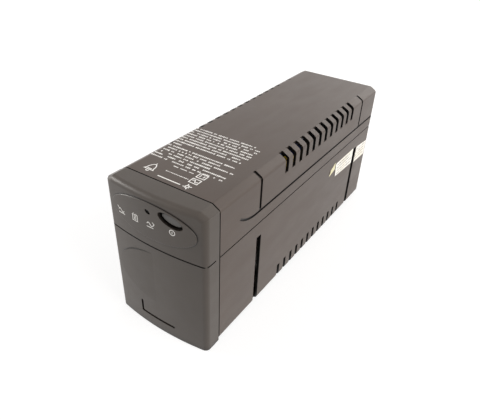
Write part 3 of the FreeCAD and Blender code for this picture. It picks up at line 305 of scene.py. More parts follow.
@dataclass(frozen=True)
class Finish:
    """The base of all finishes: a colour, a roughness and a texture of its own.

    Attributes:
        color: Linear base colour.
        roughness: Roughness from 0 to 1.
    """

    color: Triple
    roughness: float = 0.5

    @property
    def metallic(self) -> float:
        """1 on bare metal, else 0."""
        return 0.0

    def detail(self, surface: Surface) -> None:
        """Add the finish's own texture to a surface."""

    def material(self, name: str) -> bpy.types.Material:
        """Make the material under a name."""
        surface = Surface(name, self.color, self.roughness, self.metallic)
        self.detail(surface)
        return surface.material


@dataclass(frozen=True)
class Moulded(Finish):
    """Injection-moulded plastic with a fine spark-eroded grain, flow clouds, light scuffs and painted shade
    in its gaps, wells and slot walls.

    Attributes:
        grain: Size of the grain in metres.
        depth: Depth of the grain in metres.
        cloud: Share by which the flow clouds lighten and darken the colour.
        gloss: Specular level of the shader.
        sheen: Weight of the dusty sheen that a fine grain gives at a slant.
        crevice: Reach of the painted shade in gaps, slots and grooves, in metres.
        hollow: Reach of the painted shade in deep wells, in metres.
        slots: Where the walls of slots begin and end along the length, in metres; these walls are painted
            nearly black as shade.
    """

    grain: float = 0.0009
    depth: float = 0.00003
    cloud: float = 0.04
    gloss: float = 0.35
    sheen: float = 0.0
    crevice: float = 0.0
    hollow: float = 0.0
    slots: Spot = (0.0, 0.0)

    def detail(self, surface: Surface) -> None:
        """Clouds and painted shade in the colour, grain in the relief and scuffs in the roughness."""
        sheen_roughness, sheen_tint = 0.35, (1.0, 0.93, 0.88, 1.0)
        scuff_size, scuff_stretch, scuff_range = 0.012, (1.0, 0.3, 1.0), 0.03
        sink_size, sink_depth = 0.02, 0.00004
        surface.give("Specular IOR Level", self.gloss)
        surface.give("Sheen Weight", self.sheen)
        surface.give("Sheen Roughness", sheen_roughness)
        surface.give("Sheen Tint", sheen_tint)
        # The colour carries painted shade: nearly black in gaps, wells and on slot walls.
        surface.paint(self.with_painted_shade(surface, self.mottled(surface)))
        scuffs = surface.noise(scuff_size, 4.0, scuff_stretch)
        surface.polish(surface.span(scuffs, self.roughness - scuff_range, self.roughness + scuff_range))
        grain, sinks = surface.noise(self.grain, 1.0), surface.noise(sink_size, 1.0)
        surface.relief((grain, self.depth), (sinks, sink_depth))

    def mottled(self, surface: Surface) -> Socket:
        """The plastic's colour with its flow clouds and small pale specks."""
        cloud_size, speck_size, speck_share, speck_weight = 0.035, 0.0016, 1.2, 0.04
        clouds = surface.span(surface.noise(cloud_size, 3.0), 0.0, 1.0)
        tone = surface.tint(clouds, scaled(self.color, 1 - self.cloud), scaled(self.color, 1 + self.cloud))
        specks = surface.span(surface.noise(speck_size, 2.0), 0.0, 0.5, 0.45, 0.75)
        worn = surface.tint(specks, self.color, scaled(self.color, speck_share))
        return surface.tint(speck_weight, tone, worn, "SCREEN")

    def with_painted_shade(self, surface: Surface, color: Socket) -> Socket:
        """The colour with painted shade: nearly black inside gaps and wells and on the walls of slots."""
        # The share of the colour left where the painted shade is full.
        painted_shade_share = 0.02
        shade_masks = []
        if self.crevice:
            shade_masks.append(surface.open_sky(self.crevice))
        if self.hollow:
            shade_masks.append(surface.open_sky(self.hollow, 0.4, 0.8))
        if any(self.slots):
            shade_masks.append(surface.uncut(*self.slots))
        if not shade_masks:
            return color
        return surface.tint(surface.least(*shade_masks), scaled(self.color, painted_shade_share), color)


@dataclass(frozen=True)
class Metal(Finish):
    """Bare or plated metal with a drawn grain and cloudy passivation.

    Attributes:
        drawn: Direction of the drawn lines.
    """

    drawn: Triple = (1.0, 0.08, 1.0)

    @property
    def metallic(self) -> float:
        """Bare metal."""
        return 1.0

    def detail(self, surface: Surface) -> None:
        """Clouds in the colour and drawn lines in the roughness and relief."""
        cloud_size, dulled, line_size, line_depth = 0.008, 0.82, 0.0006, 0.000008
        smoother, rougher = 0.08, 0.12
        clouds = surface.span(surface.noise(cloud_size, 3.0), 0.0, 1.0)
        surface.paint(surface.tint(clouds, scaled(self.color, dulled), self.color))
        lines = surface.noise(line_size, 2.0, self.drawn)
        surface.polish(surface.span(lines, self.roughness - smoother, self.roughness + rougher))
        surface.relief((lines, line_depth))


@dataclass(frozen=True)
class Laminated(Finish):
    """A stack of thin steel sheets, seen on edge, under a coat of varnish.

    Attributes:
        sheet: Thickness of one sheet in metres.
    """

    sheet: float = 0.001

    def detail(self, surface: Surface) -> None:
        """Stripes across the stack and patches of rust brown."""
        rust, most_rust, patch_size = shade(92, 66, 50), 0.6, 0.01
        seam_share, seam_depth = 0.45, 0.00015
        stripes = surface.bands(self.sheet)
        steel = surface.tint(stripes, scaled(self.color, seam_share), self.color)
        patches = surface.span(surface.noise(patch_size, 4.0), 0.0, most_rust, 0.5, 0.75)
        surface.paint(surface.tint(patches, steel, rust))
        surface.relief((stripes, seam_depth))


@dataclass(frozen=True)
class Wound(Finish):
    """Enamelled wire laid turn beside turn under a band of tape.

    Attributes:
        wire: Diameter of the wire in metres.
    """

    wire: float = 0.0009

    def detail(self, surface: Surface) -> None:
        """One stripe for each turn, darker towards the valleys between turns as painted shade, with a rounded
        relief.
        """
        varnish, valley_shade_share, depth = 0.6, 0.35, 0.0003
        surface.give("Coat Weight", varnish)
        turns = surface.bands(self.wire)
        # Painted shade: each turn darkens towards the valleys beside it.
        surface.paint(surface.tint(turns, scaled(self.color, valley_shade_share), self.color))
        surface.relief((turns, depth))


@dataclass(frozen=True)
class Laminate(Finish):
    """A circuit board's solder mask over its copper tracks.

    Attributes:
        track: Size of the areas between tracks in metres.
    """

    track: float = 0.006

    def detail(self, surface: Surface) -> None:
        """Tracks a little lighter than the board, with a slight step."""
        varnish, track_share, step, weave_size, weave_depth = 0.4, 1.9, 0.00004, 0.0005, 0.00001
        surface.give("Coat Weight", varnish)
        tracks = surface.span(surface.cells(self.track, edges=True), 1.0, 0.0, 0.03, 0.05)
        surface.paint(surface.tint(tracks, self.color, scaled(self.color, track_share)))
        surface.relief((tracks, step), (surface.noise(weave_size, 1.0), weave_depth))


@dataclass(frozen=True)
class Elastic(Finish):
    """Rubber or foam with open pores.

    Attributes:
        pore: Size of a pore in metres.
        depth: Depth of a pore in metres.
    """

    pore: float = 0.0006
    depth: float = 0.00006

    def detail(self, surface: Surface) -> None:
        """Pores in the relief and dust in the colour."""
        gloss, dust_size, dust_share = 0.2, 0.004, 1.6
        surface.give("Specular IOR Level", gloss)
        dust = surface.span(surface.noise(dust_size, 4.0), 0.0, 1.0, 0.45, 0.8)
        surface.paint(surface.tint(dust, self.color, scaled(self.color, dust_share)))
        surface.relief((surface.cells(self.pore), self.depth))


@dataclass(frozen=True)
class Sleeve(Finish):
    """Extruded insulation or shrink sleeve with a faint waviness."""

    def detail(self, surface: Surface) -> None:
        """Slight changes of tone and a soft ripple."""
        cloud_size, darkest, lightest, ripple_size, ripple_depth = 0.006, 0.85, 1.1, 0.003, 0.00008
        clouds = surface.noise(cloud_size, 2.0)
        surface.paint(surface.tint(clouds, scaled(self.color, darkest), scaled(self.color, lightest)))
        surface.relief((surface.noise(ripple_size, 1.0), ripple_depth))


@dataclass(frozen=True)
class Clear(Finish):
    """Transparent moulded plastic, tinted or water clear.

    Attributes:
        through: Share of the light that goes through.
        bending: Index of refraction.
    """

    through: float = 0.85
    bending: float = 1.49

    def detail(self, surface: Surface) -> None:
        """Light goes through; flow lines bend it a little."""
        surface.give("Transmission Weight", self.through)
        surface.give("IOR", self.bending)
        flow_size, flow_depth = 0.002, 0.00003
        surface.relief((surface.noise(flow_size, 1.0), flow_depth))


@dataclass(frozen=True)
class Paper(Finish):
    """Coated label stock with fibres, yellowed in patches."""

    def detail(self, surface: Surface) -> None:
        """Yellowed patches and fine fibres."""
        yellowing, patch_size = (0.97, 0.94, 0.86), 0.014
        fibre_size, fibre_depth, cockle_size, cockle_depth = 0.0007, 0.00003, 0.006, 0.0002
        patches = surface.span(surface.noise(patch_size, 3.0), 0.0, 1.0, 0.4, 0.7)
        yellowed = tuple(channel * share for channel, share in zip(self.color, yellowing))
        surface.paint(surface.tint(patches, self.color, yellowed))
        fibres, cockles = surface.noise(fibre_size, 3.0), surface.noise(cockle_size, 1.0)
        surface.relief((fibres, fibre_depth), (cockles, cockle_depth))


@dataclass(frozen=True)
class Ink(Finish):
    """Pad-printed ink, thin in places, so the plastic greys it."""

    def detail(self, surface: Surface) -> None:
        """Thin spots let the ground through."""
        spot_size, thinnest, ground_share, grain_size, grain_depth = 0.0011, 0.35, 0.45, 0.0008, 0.00001
        thin = surface.span(surface.noise(spot_size, 3.0), 0.0, thinnest, 0.55, 0.85)
        surface.paint(surface.tint(thin, self.color, scaled(self.color, ground_share)))
        surface.relief((surface.noise(grain_size, 1.0), grain_depth))


FINISHES: dict[str, Finish] = {
    # crevice, hollow and slots set where the painted shade darkens gaps, wells and slot walls.
    "housing_plastic": Moulded(shade(69, 57, 49), 0.42, gloss=0.5, sheen=0.12, crevice=0.006,
                               slots=(-0.138, 0.1555)),
    "bezel_plastic": Moulded(shade(64, 56, 49), 0.38, grain=0.0008, depth=0.00002, gloss=0.5, sheen=0.08,
                             crevice=0.0014, hollow=0.012),
    "button_plastic": Moulded(shade(72, 69, 66), 0.34, depth=0.00001, gloss=0.6, sheen=0.3, crevice=0.0012),
    "black_plastic": Moulded(shade(34, 33, 33), 0.4),
    "panel_plastic": Moulded(shade(78, 73, 69), 0.5, depth=0.00005),
    "battery_plastic": Moulded(shade(30, 30, 32), 0.38, depth=0.00001),
    "foot_rubber": Elastic(shade(38, 37, 36), 0.85),
    "pad_foam": Elastic(shade(60, 60, 62), 0.95, pore=0.0009, depth=0.0002),
    "zinc_steel": Metal(shade(190, 190, 184), 0.34),
    "core_steel": Laminated(shade(96, 92, 90), 0.45),
    "winding_copper": Wound(shade(168, 84, 42), 0.3),
    "contact_brass": Metal(shade(205, 170, 95), 0.28),
    "pin_nickel": Metal(shade(206, 203, 196), 0.22),
    "sink_aluminium": Metal(shade(178, 180, 182), 0.38, drawn=(1.0, 1.0, 0.08)),
    "board_green": Laminate(shade(28, 84, 46), 0.35),
    "lamp_green": Clear(shade(96, 196, 110), 0.12),
    "clear_plastic": Clear(shade(200, 204, 206), 0.15),
    "relay_blue": Moulded(shade(40, 72, 132), 0.32, depth=0.00001),
    "chip_black": Moulded(shade(28, 28, 30), 0.5, grain=0.0004),
    "can_sleeve": Sleeve(shade(34, 40, 72), 0.25),
    "film_yellow": Sleeve(shade(206, 172, 60), 0.3),
    "varistor_blue": Sleeve(shade(52, 92, 150), 0.35),
    "fuse_green": Clear(shade(90, 180, 90), 0.15),
    "white_nylon": Moulded(shade(212, 210, 202), 0.4, depth=0.00001),
    "wire_red": Sleeve(shade(170, 34, 30), 0.35),
    "wire_black": Sleeve(shade(26, 26, 27), 0.35),
    "wire_blue": Sleeve(shade(38, 66, 140), 0.35),
    "wire_yellow": Sleeve(shade(206, 180, 48), 0.35),
    "wire_green": Sleeve(shade(52, 120, 58), 0.35),
    "wire_grey": Sleeve(shade(128, 128, 128), 0.4),
    "label_paper": Paper(shade(250, 248, 242), 0.55),
}
PRINT_WHITE = Ink(shade(244, 242, 238), 0.6)
PRINT_GREY = Ink(shade(112, 108, 100), 0.6)
AGED_PAPER = Paper(shade(232, 226, 190), 0.6)


class Paints:
    """The materials made so far, one for each finish name."""

    def __init__(self) -> None:
        """Start with none made."""
        self.made: dict[str, bpy.types.Material] = {}

    def get(self, name: str, finish: Finish | None = None) -> bpy.types.Material:
        """Give the material of that name, made on its first use.

        Args:
            name: A slot of the record, or a name of its own with a finish.
            finish: The finish to make it from; by default the slot's.

        Returns:
            The material.
        """
        if name not in self.made:
            self.made[name] = (finish or FINISHES[name]).material(name)
        return self.made[name]


def dress(frame: dict, paints: Paints, nodes: Iterable[str]) -> None:
    """Give frame nodes the finish that the record names for them.

    Args:
        paints: The materials.
        nodes: Names of the nodes.
    """
    slots = {part["node"]: part["material_slot"] for part in frame["record"]["subparts"]}
    for name in nodes:
        for holder in frame["nodes"][name].material_slots:
            holder.material = paints.get(slots[name])
        LOG.info("dressed %s in %s", name, slots[name])


# ---------------------------------------------------------------- meshes


def new_piece(name: str, mesh: bpy.types.Mesh,
              material: bpy.types.Material | None = None) -> bpy.types.Object:
    """Put a mesh in the scene as a piece at the origin."""
    piece = bpy.data.objects.new(name, mesh)
    bpy.context.scene.collection.objects.link(piece)
    if material is not None:
        mesh.materials.clear()
        mesh.materials.append(material)
    return piece


def settled(piece: bpy.types.Object) -> bpy.types.Object:
    """Turn a piece's modifiers into its own plain mesh."""
    graph = bpy.context.evaluated_depsgraph_get()
    result = bpy.data.meshes.new_from_object(piece.evaluated_get(graph), depsgraph=graph)
    piece.modifiers.clear()
    piece.data = result
    return piece


def between(first: Spot, second: Spot, share: float) -> Spot:
    """The spot that lies a share of the way from one to another."""
    return tuple(a + (b - a) * share for a, b in zip(first, second))


@dataclass(frozen=True)
class Stroke:
    """One drawn line of a pictogram, in millimetres round the pictogram's middle.

    Attributes:
        points: The line's corners.
        closed: Whether it returns to its first point.
    """

    points: tuple[Spot, ...]
    closed: bool = False

    def fine(self, step: float = 1.2) -> "Stroke":
        """The same line with its long runs divided, so that it follows a bowed face."""
        corners = self.points + ((self.points[0],) if self.closed else ())
        dense: list[Spot] = []
        for first, second in zip(corners, corners[1:]):
            parts = max(1, math.ceil(math.dist(first, second) / step))
            dense += [between(first, second, part / parts) for part in range(parts)]
        if not self.closed:
            dense.append(corners[-1])
        return Stroke(tuple(dense), self.closed)

    def sides(self, width: float) -> list[tuple[Spot, Spot]]:
        """The left and right edge at each corner, mitred."""
        edges = []
        count = len(self.points)
        for index, here in enumerate(self.points):
            before = self.points[index - 1] if index or self.closed else here
            after = self.points[(index + 1) % count] if index < count - 1 or self.closed else here
            runs = [Vector(b) - Vector(a) for a, b in ((before, here), (here, after)) if a != b]
            normals = [Vector((-run.y, run.x)).normalized() for run in runs]
            middle = sum(normals, Vector((0.0, 0.0))).normalized()
            reach = width / 2 / max(0.5, middle.dot(normals[0]))
            edges.append((tuple(Vector(here) + middle * reach), tuple(Vector(here) - middle * reach)))
        return edges


def run(*points: Spot) -> Stroke:
    """An open line through some spots."""
    return Stroke(points)


def arc(centre: Spot, radius: float, start: float, stop: float, count: int = 12) -> tuple[Spot, ...]:
    """Points round part of a circle, from one angle to another in degrees."""
    turns = [math.radians(start + (stop - start) * index / count) for index in range(count + 1)]
    return tuple((centre[0] + radius * math.cos(turn), centre[1] + radius * math.sin(turn)) for turn in turns)


def wave(width: float, height: float, level: float = 0.0, count: int = 14) -> Stroke:
    """One sine wave that is centred on the pictogram."""
    shares = [index / count for index in range(count + 1)]
    levels = [level + height / 2 * math.sin(2 * math.pi * share) for share in shares]
    return run(*(((share - 0.5) * width, up) for share, up in zip(shares, levels)))


def box(width: float, height: float) -> Stroke:
    """A closed box round the pictogram's middle."""
    across, up = width / 2, height / 2
    return Stroke(((-across, -up), (across, -up), (across, up), (-across, up)), True)


def ray(angle: float, far: float, near: float = 0.9) -> Stroke:
    """A line that points away from the pictogram's middle, at an angle in degrees."""
    turn = math.radians(angle)
    return run(*((reach * math.cos(turn), reach * math.sin(turn)) for reach in (near, far)))


class Pictogram(Enum):
    """The plain signs printed on the housing."""

    BELL = "bell"
    STAR = "star"
    WAVE_BOX = "wave_box"
    CELL_BOX = "cell_box"
    MAINS = "mains"
    CELLS = "cells"
    OUTPUT = "output"
    POWER = "power"

    def strokes(self) -> tuple[Stroke, ...]:
        """The sign's lines, in millimetres."""
        return SIGNS[self]


BELL_DOME = ((-4.6, -3.4), (-3.6, -1.8), (-3.2, 1.2), (-2.1, 3.9), (-0.8, 5.2), (0.8, 5.2), (2.1, 3.9),
             (3.2, 1.2), (3.6, -1.8), (4.6, -3.4))
SIGNS: dict[Pictogram, tuple[Stroke, ...]] = {
    Pictogram.BELL: (Stroke(BELL_DOME, True), run((0.0, 6.0), (0.0, 7.2)), run((-2.3, -2.0), (2.3, -2.0)),
                     run(*arc((0.0, -4.6), 1.3, 180, 360))),
    Pictogram.STAR: tuple(ray(20 + 45 * index, 2.2 if index % 2 else 3.6) for index in range(8)),
    Pictogram.WAVE_BOX: (box(8.0, 6.2), wave(5.2, 3.2)),
    Pictogram.CELL_BOX: (box(8.0, 6.0), *(run((x, -1.6), (x, 1.6)) for x in (-1.7, 1.7)),
                         *(run((x - 0.8, 4.0), (x + 0.8, 4.0)) for x in (-2.0, 2.0))),
    Pictogram.MAINS: (run((-4.8, 3.6), (-3.2, 1.9)), wave(7.0, 3.0, 0.3), run((-3.8, -2.6), (4.4, -2.6))),
    Pictogram.CELLS: (box(6.2, 6.6), *(run((-1.5, up), (1.5, up)) for up in (-1.6, 0.0, 1.6)),
                      *(run((x, 4.4), (x, 5.0)) for x in (-1.9, 1.9))),
    Pictogram.OUTPUT: (wave(7.2, 3.2, 0.4), run((2.6, 3.4), (4.6, 2.2), (4.2, 0.2)),
                       run((-4.0, -2.8), (3.6, -2.8))),
    Pictogram.POWER: (Stroke(arc((0.0, 0.0), 2.9, 0, 345, 23), True), run((0.0, -1.3), (0.0, 1.3))),
}


def draw(mesh: bmesh.types.BMesh, strokes: Iterable[Stroke], width: float, thick: float, lay: Placer) -> None:
    """Add strokes to a mesh as thin closed ribbons.

    Args:
        mesh: The mesh to add to.
        strokes: The lines to draw.
        width: Width of the lines in millimetres.
        thick: Thickness of the ink in millimetres.
        lay: Gives the place in metres of a spot at a height over the face.
    """
    for stroke in strokes:
        line = stroke.fine()
        rings = []
        for left, right in line.sides(width):
            corners = ((left, 0.0), (right, 0.0), (right, thick), (left, thick))
            rings.append([mesh.verts.new(lay(spot[0], spot[1], height)) for spot, height in corners])
        pairs = list(zip(rings, rings[1:]))
        if line.closed:
            pairs.append((rings[-1], rings[0]))
        else:
            mesh.faces.new(rings[0])
            mesh.faces.new(list(reversed(rings[-1])))
        for first, second in pairs:
            for side in range(4):
                following = (side + 1) % 4
                mesh.faces.new((first[side], second[side], second[following], first[following]))


def finish_mesh(mesh: bmesh.types.BMesh, name: str) -> bpy.types.Mesh:
    """Turn a built mesh's faces outwards and hand it over as mesh data."""
    bmesh.ops.recalc_face_normals(mesh, faces=mesh.faces)
    data = bpy.data.meshes.new(name)
    mesh.to_mesh(data)
    mesh.free()
    return data


# ---------------------------------------------------------------- geometry nodes


class Tree(Graph):
    """A Geometry Nodes tree that makes its own geometry from named inputs."""

    def __init__(self, name: str, inputs: dict[str, tuple[str, object]]) -> None:
        """Open a tree.

        Args:
            name: The tree's name.
            inputs: Socket kind and value under each input's name.
        """
        super().__init__(bpy.data.node_groups.new(name, "GeometryNodeTree"))
        self.values = {label: value for label, (_, value) in inputs.items()}
        for label, (kind, _) in inputs.items():
            self.tree.interface.new_socket(label, in_out="INPUT", socket_type=kind)
        self.tree.interface.new_socket("Geometry", in_out="OUTPUT", socket_type="NodeSocketGeometry")
        self.entry = self.node("NodeGroupInput", {})
        self.exit = self.node("NodeGroupOutput", {})

    def random(self, kind: str, links: dict[str | int, object]) -> Socket:
        """A random value of its own for every point."""
        output = {"FLOAT_VECTOR": 0, "FLOAT": 1}[kind]
        return self.node("FunctionNodeRandomValue", links, data_type=kind).outputs[output]

    def vector(self, x: object, y: object, z: object) -> Socket:
        """Three values as one vector."""
        return self.node("ShaderNodeCombineXYZ", {0: x, 1: y, 2: z}).outputs[0]

    def given(self, label: str) -> Socket:
        """The output that carries a named input."""
        return self.entry.outputs[label]

    def close(self, geometry: Socket) -> None:
        """End the tree with real geometry in the given material."""
        real = self.node("GeometryNodeRealizeInstances", {0: geometry})
        coated = self.node("GeometryNodeSetMaterial",
                           {"Geometry": real.outputs[0], "Material": self.given("Ink")})
        self.feed(self.exit.inputs[0], coated.outputs[0])

    def build(self, name: str) -> bpy.types.Object:
        """Run the tree on an empty mesh and keep the result as a plain piece."""
        piece = new_piece(name, bpy.data.meshes.new(name))
        modifier = piece.modifiers.new("Rows", "NODES")
        modifier.node_group = self.tree
        for item in self.tree.interface.items_tree:
            if item.in_out == "INPUT":
                modifier[item.identifier] = self.values[item.name]
        return settled(piece)


@dataclass(frozen=True)
class Rows:
    """Rows of small marks that stand for printed words, without being letters.

    Attributes:
        start: Left end of the first row, in millimetres.
        level: Middle of the first row, in millimetres.
        width: Length of a full row.
        count: Number of rows.
        pitch: From one row to the next.
        cell: Room of one mark along the row.
        height: Tallest mark.
        gap: Share of places left bare.
        ragged: Share by which a row may end early.
        seed: Fixes the random choices.
    """

    start: float
    level: float
    width: float
    count: int
    pitch: float = 4.4
    cell: float = 1.75
    height: float = 2.15
    gap: float = 0.2
    ragged: float = 0.08
    seed: int = 1

    def build(self, name: str, ink: bpy.types.Material, thick: float) -> bpy.types.Object:
        """Make the rows in the plane z = 0, in metres.

        Args:
            name: The piece's name.
            ink: The material of the marks.
            thick: Thickness of the ink in millimetres.

        Returns:
            The piece, with its rows along +X and later rows towards -Y.
        """
        columns = max(2, round(self.width / self.cell) + 1)
        tree = Tree(name, {
            "Columns": ("NodeSocketInt", columns),
            "Rows": ("NodeSocketInt", self.count),
            "Width": ("NodeSocketFloat", self.width * MM),
            "Pitch": ("NodeSocketFloat", self.pitch * MM),
            "Mark": ("NodeSocketVector", (self.cell * MM, self.height * MM, thick * MM)),
            "Gap": ("NodeSocketFloat", self.gap),
            "Ragged": ("NodeSocketFloat", self.ragged),
            "Seed": ("NodeSocketInt", self.seed),
            "Ink": ("NodeSocketMaterial", ink),
        })
        given = tree.given
        step = tree.math("DIVIDE", given("Width"), tree.math("SUBTRACT", given("Columns"), 1.0))
        line = tree.node("GeometryNodeMeshLine", {
            "Count": given("Columns"), "Start Location": (0.0, 0.0, 0.0),
            "Offset": tree.vector(step, 0.0, 0.0)})
        ladder = tree.node("GeometryNodeMeshLine", {
            "Count": given("Rows"), "Start Location": (0.0, 0.0, 0.0),
            "Offset": tree.vector(0.0, tree.math("MULTIPLY", given("Pitch"), -1.0), 0.0)})
        grid = tree.node("GeometryNodeInstanceOnPoints",
                         {"Points": ladder.outputs[0], "Instance": line.outputs[0]})
        points = tree.node("GeometryNodeRealizeInstances", {0: grid.outputs[0]})
        across, up, _ = tree.parts(tree.node("GeometryNodeInputPosition", {}).outputs[0])
        row = tree.math("ROUND", tree.math("DIVIDE", up, given("Pitch")))
        early = tree.random("FLOAT", {2: 0.0, 3: 1.0, "ID": row, "Seed": given("Seed")})
        share = tree.math("SUBTRACT", 1.0, tree.math("MULTIPLY", given("Ragged"), early))
        past = tree.math("GREATER_THAN", across, tree.math("MULTIPLY", given("Width"), share))
        chance = tree.random("FLOAT", {2: 0.0, 3: 1.0, "Seed": tree.math("ADD", given("Seed"), 7.0)})
        bare = tree.math("LESS_THAN", chance, given("Gap"))
        kept = tree.node("GeometryNodeDeleteGeometry",
                         {"Geometry": points.outputs[0], "Selection": tree.math("MAXIMUM", past, bare)},
                         domain="POINT")
        cube = tree.node("GeometryNodeMeshCube", {"Size": given("Mark")})
        smallest, largest = (0.55, 0.55, 1.0), (0.86, 1.0, 1.0)
        size = tree.random("FLOAT_VECTOR",
                           {0: smallest, 1: largest, "Seed": tree.math("ADD", given("Seed"), 3.0)})
        marks = tree.node("GeometryNodeInstanceOnPoints",
                          {"Points": kept.outputs[0], "Instance": cube.outputs[0], "Scale": size})
        tree.close(marks.outputs[0])
        return tree.build(name)


# ---------------------------------------------------------------- sub-assemblies


@dataclass
class SubAssembly:
    """Pieces of the frame that belong together and keep their own shape.

    Attributes:
        nodes: The frame's nodes.
    """

    nodes: tuple[str, ...]

    def build(self, frame: dict, paints: Paints) -> None:
        """Give the nodes their finishes."""
        dress(frame, paints, self.nodes)


@dataclass
class Casing(SubAssembly):
    """The four shells of the housing with their feet and screws."""

    nodes: tuple[str, ...] = ("top_cover", "base_shell", "front_bezel", "rear_panel", "rubber_feet",
                              "housing_screws")


@dataclass
class Controls(SubAssembly):
    """Power button, lamp and front board, with the signs printed round them.

    Attributes:
        ink: Thickness of the print in millimetres.
        line: Width of the print's lines in millimetres.
        signs: Sign, place across and level above the floor in millimetres, and size.
    """

    nodes: tuple[str, ...] = ("power_button", "power_switch", "switch_plunger", "front_board",
                              "front_board_screws", "buzzer", "status_lamp", "light_pipe")
    ink: float = 0.03
    line: float = 0.85
    signs: tuple[tuple[Pictogram, float, float, float], ...] = (
        (Pictogram.MAINS, -31.5, 117.1, 0.9),
        (Pictogram.CELLS, -15.5, 117.6, 0.85),
        (Pictogram.OUTPUT, 0.6, 118.2, 0.88),
        (Pictogram.POWER, 21.8, 119.6, 0.82),
    )

    def build(self, frame: dict, paints: Paints) -> None:
        """Dress the controls and print their signs on the bowed face."""
        super().build(frame, paints)
        bezel = frame["nodes"]["front_bezel"]
        faces = [tuple(polygon.vertices) for polygon in bezel.data.polygons]
        search = BVHTree.FromPolygons([vertex.co.copy() for vertex in bezel.data.vertices], faces)
        for sign, across, level, size in self.signs:
            self.print_sign(sign, (across, level), size, search, paints)

    def print_sign(self, sign: Pictogram, middle: Spot, size: float, search: BVHTree, paints: Paints) -> None:
        """Lay one sign on the bezel's face.

        Args:
            sign: Which sign it is.
            middle: Its middle across and above the floor, in millimetres.
            size: Scale of the sign.
            search: The bezel's faces.
            paints: The materials.
        """
        def lay(across: float, up: float, height: float) -> Vector:
            """The place of a spot on the bezel's face."""
            x, z = (middle[0] + across * size) * MM, (middle[1] + up * size) * MM
            start = Vector((x, -1.0, z))
            hit = search.ray_cast(start, Vector((0.0, 1.0, 0.0)))[0]
            return Vector((x, hit.y - height * MM, z))

        mesh = bmesh.new()
        draw(mesh, sign.strokes(), self.line, self.ink, lay)
        white = paints.get("print_white", PRINT_WHITE)
        piece = new_piece(f"{sign.value}_sign", finish_mesh(mesh, sign.value), white)
        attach(piece, HOUSING)
        LOG.info("printed %s", piece.name)


@dataclass
class TopPrint:
    """The instructions printed on the cover: rows of marks, sample lines and signs.

    Attributes:
        ink: Thickness of the print in millimetres.
        line: Width of the signs' lines in millimetres.
        paragraphs: The rows of marks; their levels are distances behind the bezel seam.
        samples: The broken lines that explain the lamp and the buzzer.
        signs: Sign, place across, distance behind the bezel seam and size.
        solid_line: Ends of the unbroken line, across and behind the bezel seam.
        solid_width: Width of the unbroken line in millimetres.
    """

    ink: float = 0.03
    line: float = 0.9
    paragraphs: tuple[Rows, ...] = (
        Rows(-43.0, 91.2, 72.0, 8, pitch=4.45, seed=11),
        Rows(-41.5, 55.4, 8.0, 1, ragged=0.0, gap=0.0, seed=5),
        Rows(-42.5, 50.4, 74.0, 1, seed=21),
        Rows(-39.5, 46.1, 56.0, 1, seed=22),
        Rows(-42.5, 41.7, 75.0, 1, seed=23),
        Rows(-39.5, 37.3, 54.0, 1, seed=24),
        Rows(-42.5, 32.9, 74.0, 2, pitch=4.4, ragged=0.02, seed=25),
    )
    samples: tuple[Rows, ...] = (
        Rows(-12.2, 23.8, 16.0, 1, cell=8.0, height=1.2, gap=0.0, ragged=0.0, seed=2),
        Rows(-14.0, 14.6, 21.6, 1, cell=1.66, height=1.1, gap=0.0, ragged=0.0, seed=3),
    )
    signs: tuple[tuple[Pictogram, float, float, float], ...] = (
        (Pictogram.BELL, -27.2, 11.4, 1.0),
        (Pictogram.STAR, 14.2, 5.9, 1.05),
        (Pictogram.WAVE_BOX, 14.2, 15.4, 1.0),
        (Pictogram.CELL_BOX, 14.4, 24.2, 1.0),
    )
    solid_line: tuple[Spot, Spot] = ((-14.8, 5.0), (8.0, 5.0))
    solid_width: float = 1.1

    def build(self, paints: Paints) -> None:
        """Print everything on the cover's flat top."""
        low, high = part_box("top_cover")
        ground = Matrix.Translation(Vector((0.0, low.y, high.z)))
        material = paints.get("print_white", PRINT_WHITE)
        for number, rows in enumerate(self.paragraphs + self.samples, start=1):
            piece = rows.build(f"top_rows_{number}", material, self.ink)
            place = Matrix.Translation(Vector((rows.start * MM, rows.level * MM, self.ink / 2 * MM)))
            piece.data.transform(ground @ place)
            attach(piece, HOUSING)
            LOG.info("printed %s with %d faces", piece.name, len(piece.data.polygons))
        mesh = bmesh.new()
        solid = Stroke(self.solid_line)
        draw(mesh, (solid,), self.solid_width, self.ink, self.placer(ground, (0.0, 0.0), 1.0))
        for sign, across, back, size in self.signs:
            draw(mesh, sign.strokes(), self.line, self.ink, self.placer(ground, (across, back), size))
        piece = new_piece("top_signs", finish_mesh(mesh, "top_signs"), material)
        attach(piece, HOUSING)
        LOG.info("printed %s", piece.name)

    def placer(self, ground: Matrix, middle: Spot, size: float) -> Placer:
        """A placer on the cover's top, round a middle across and behind the seam."""
        def lay(across: float, back: float, height: float) -> Vector:
            """The place of a spot on the cover."""
            place = Vector((middle[0] + across * size, middle[1] + back * size, height))
            return ground @ (place * MM)

        return lay


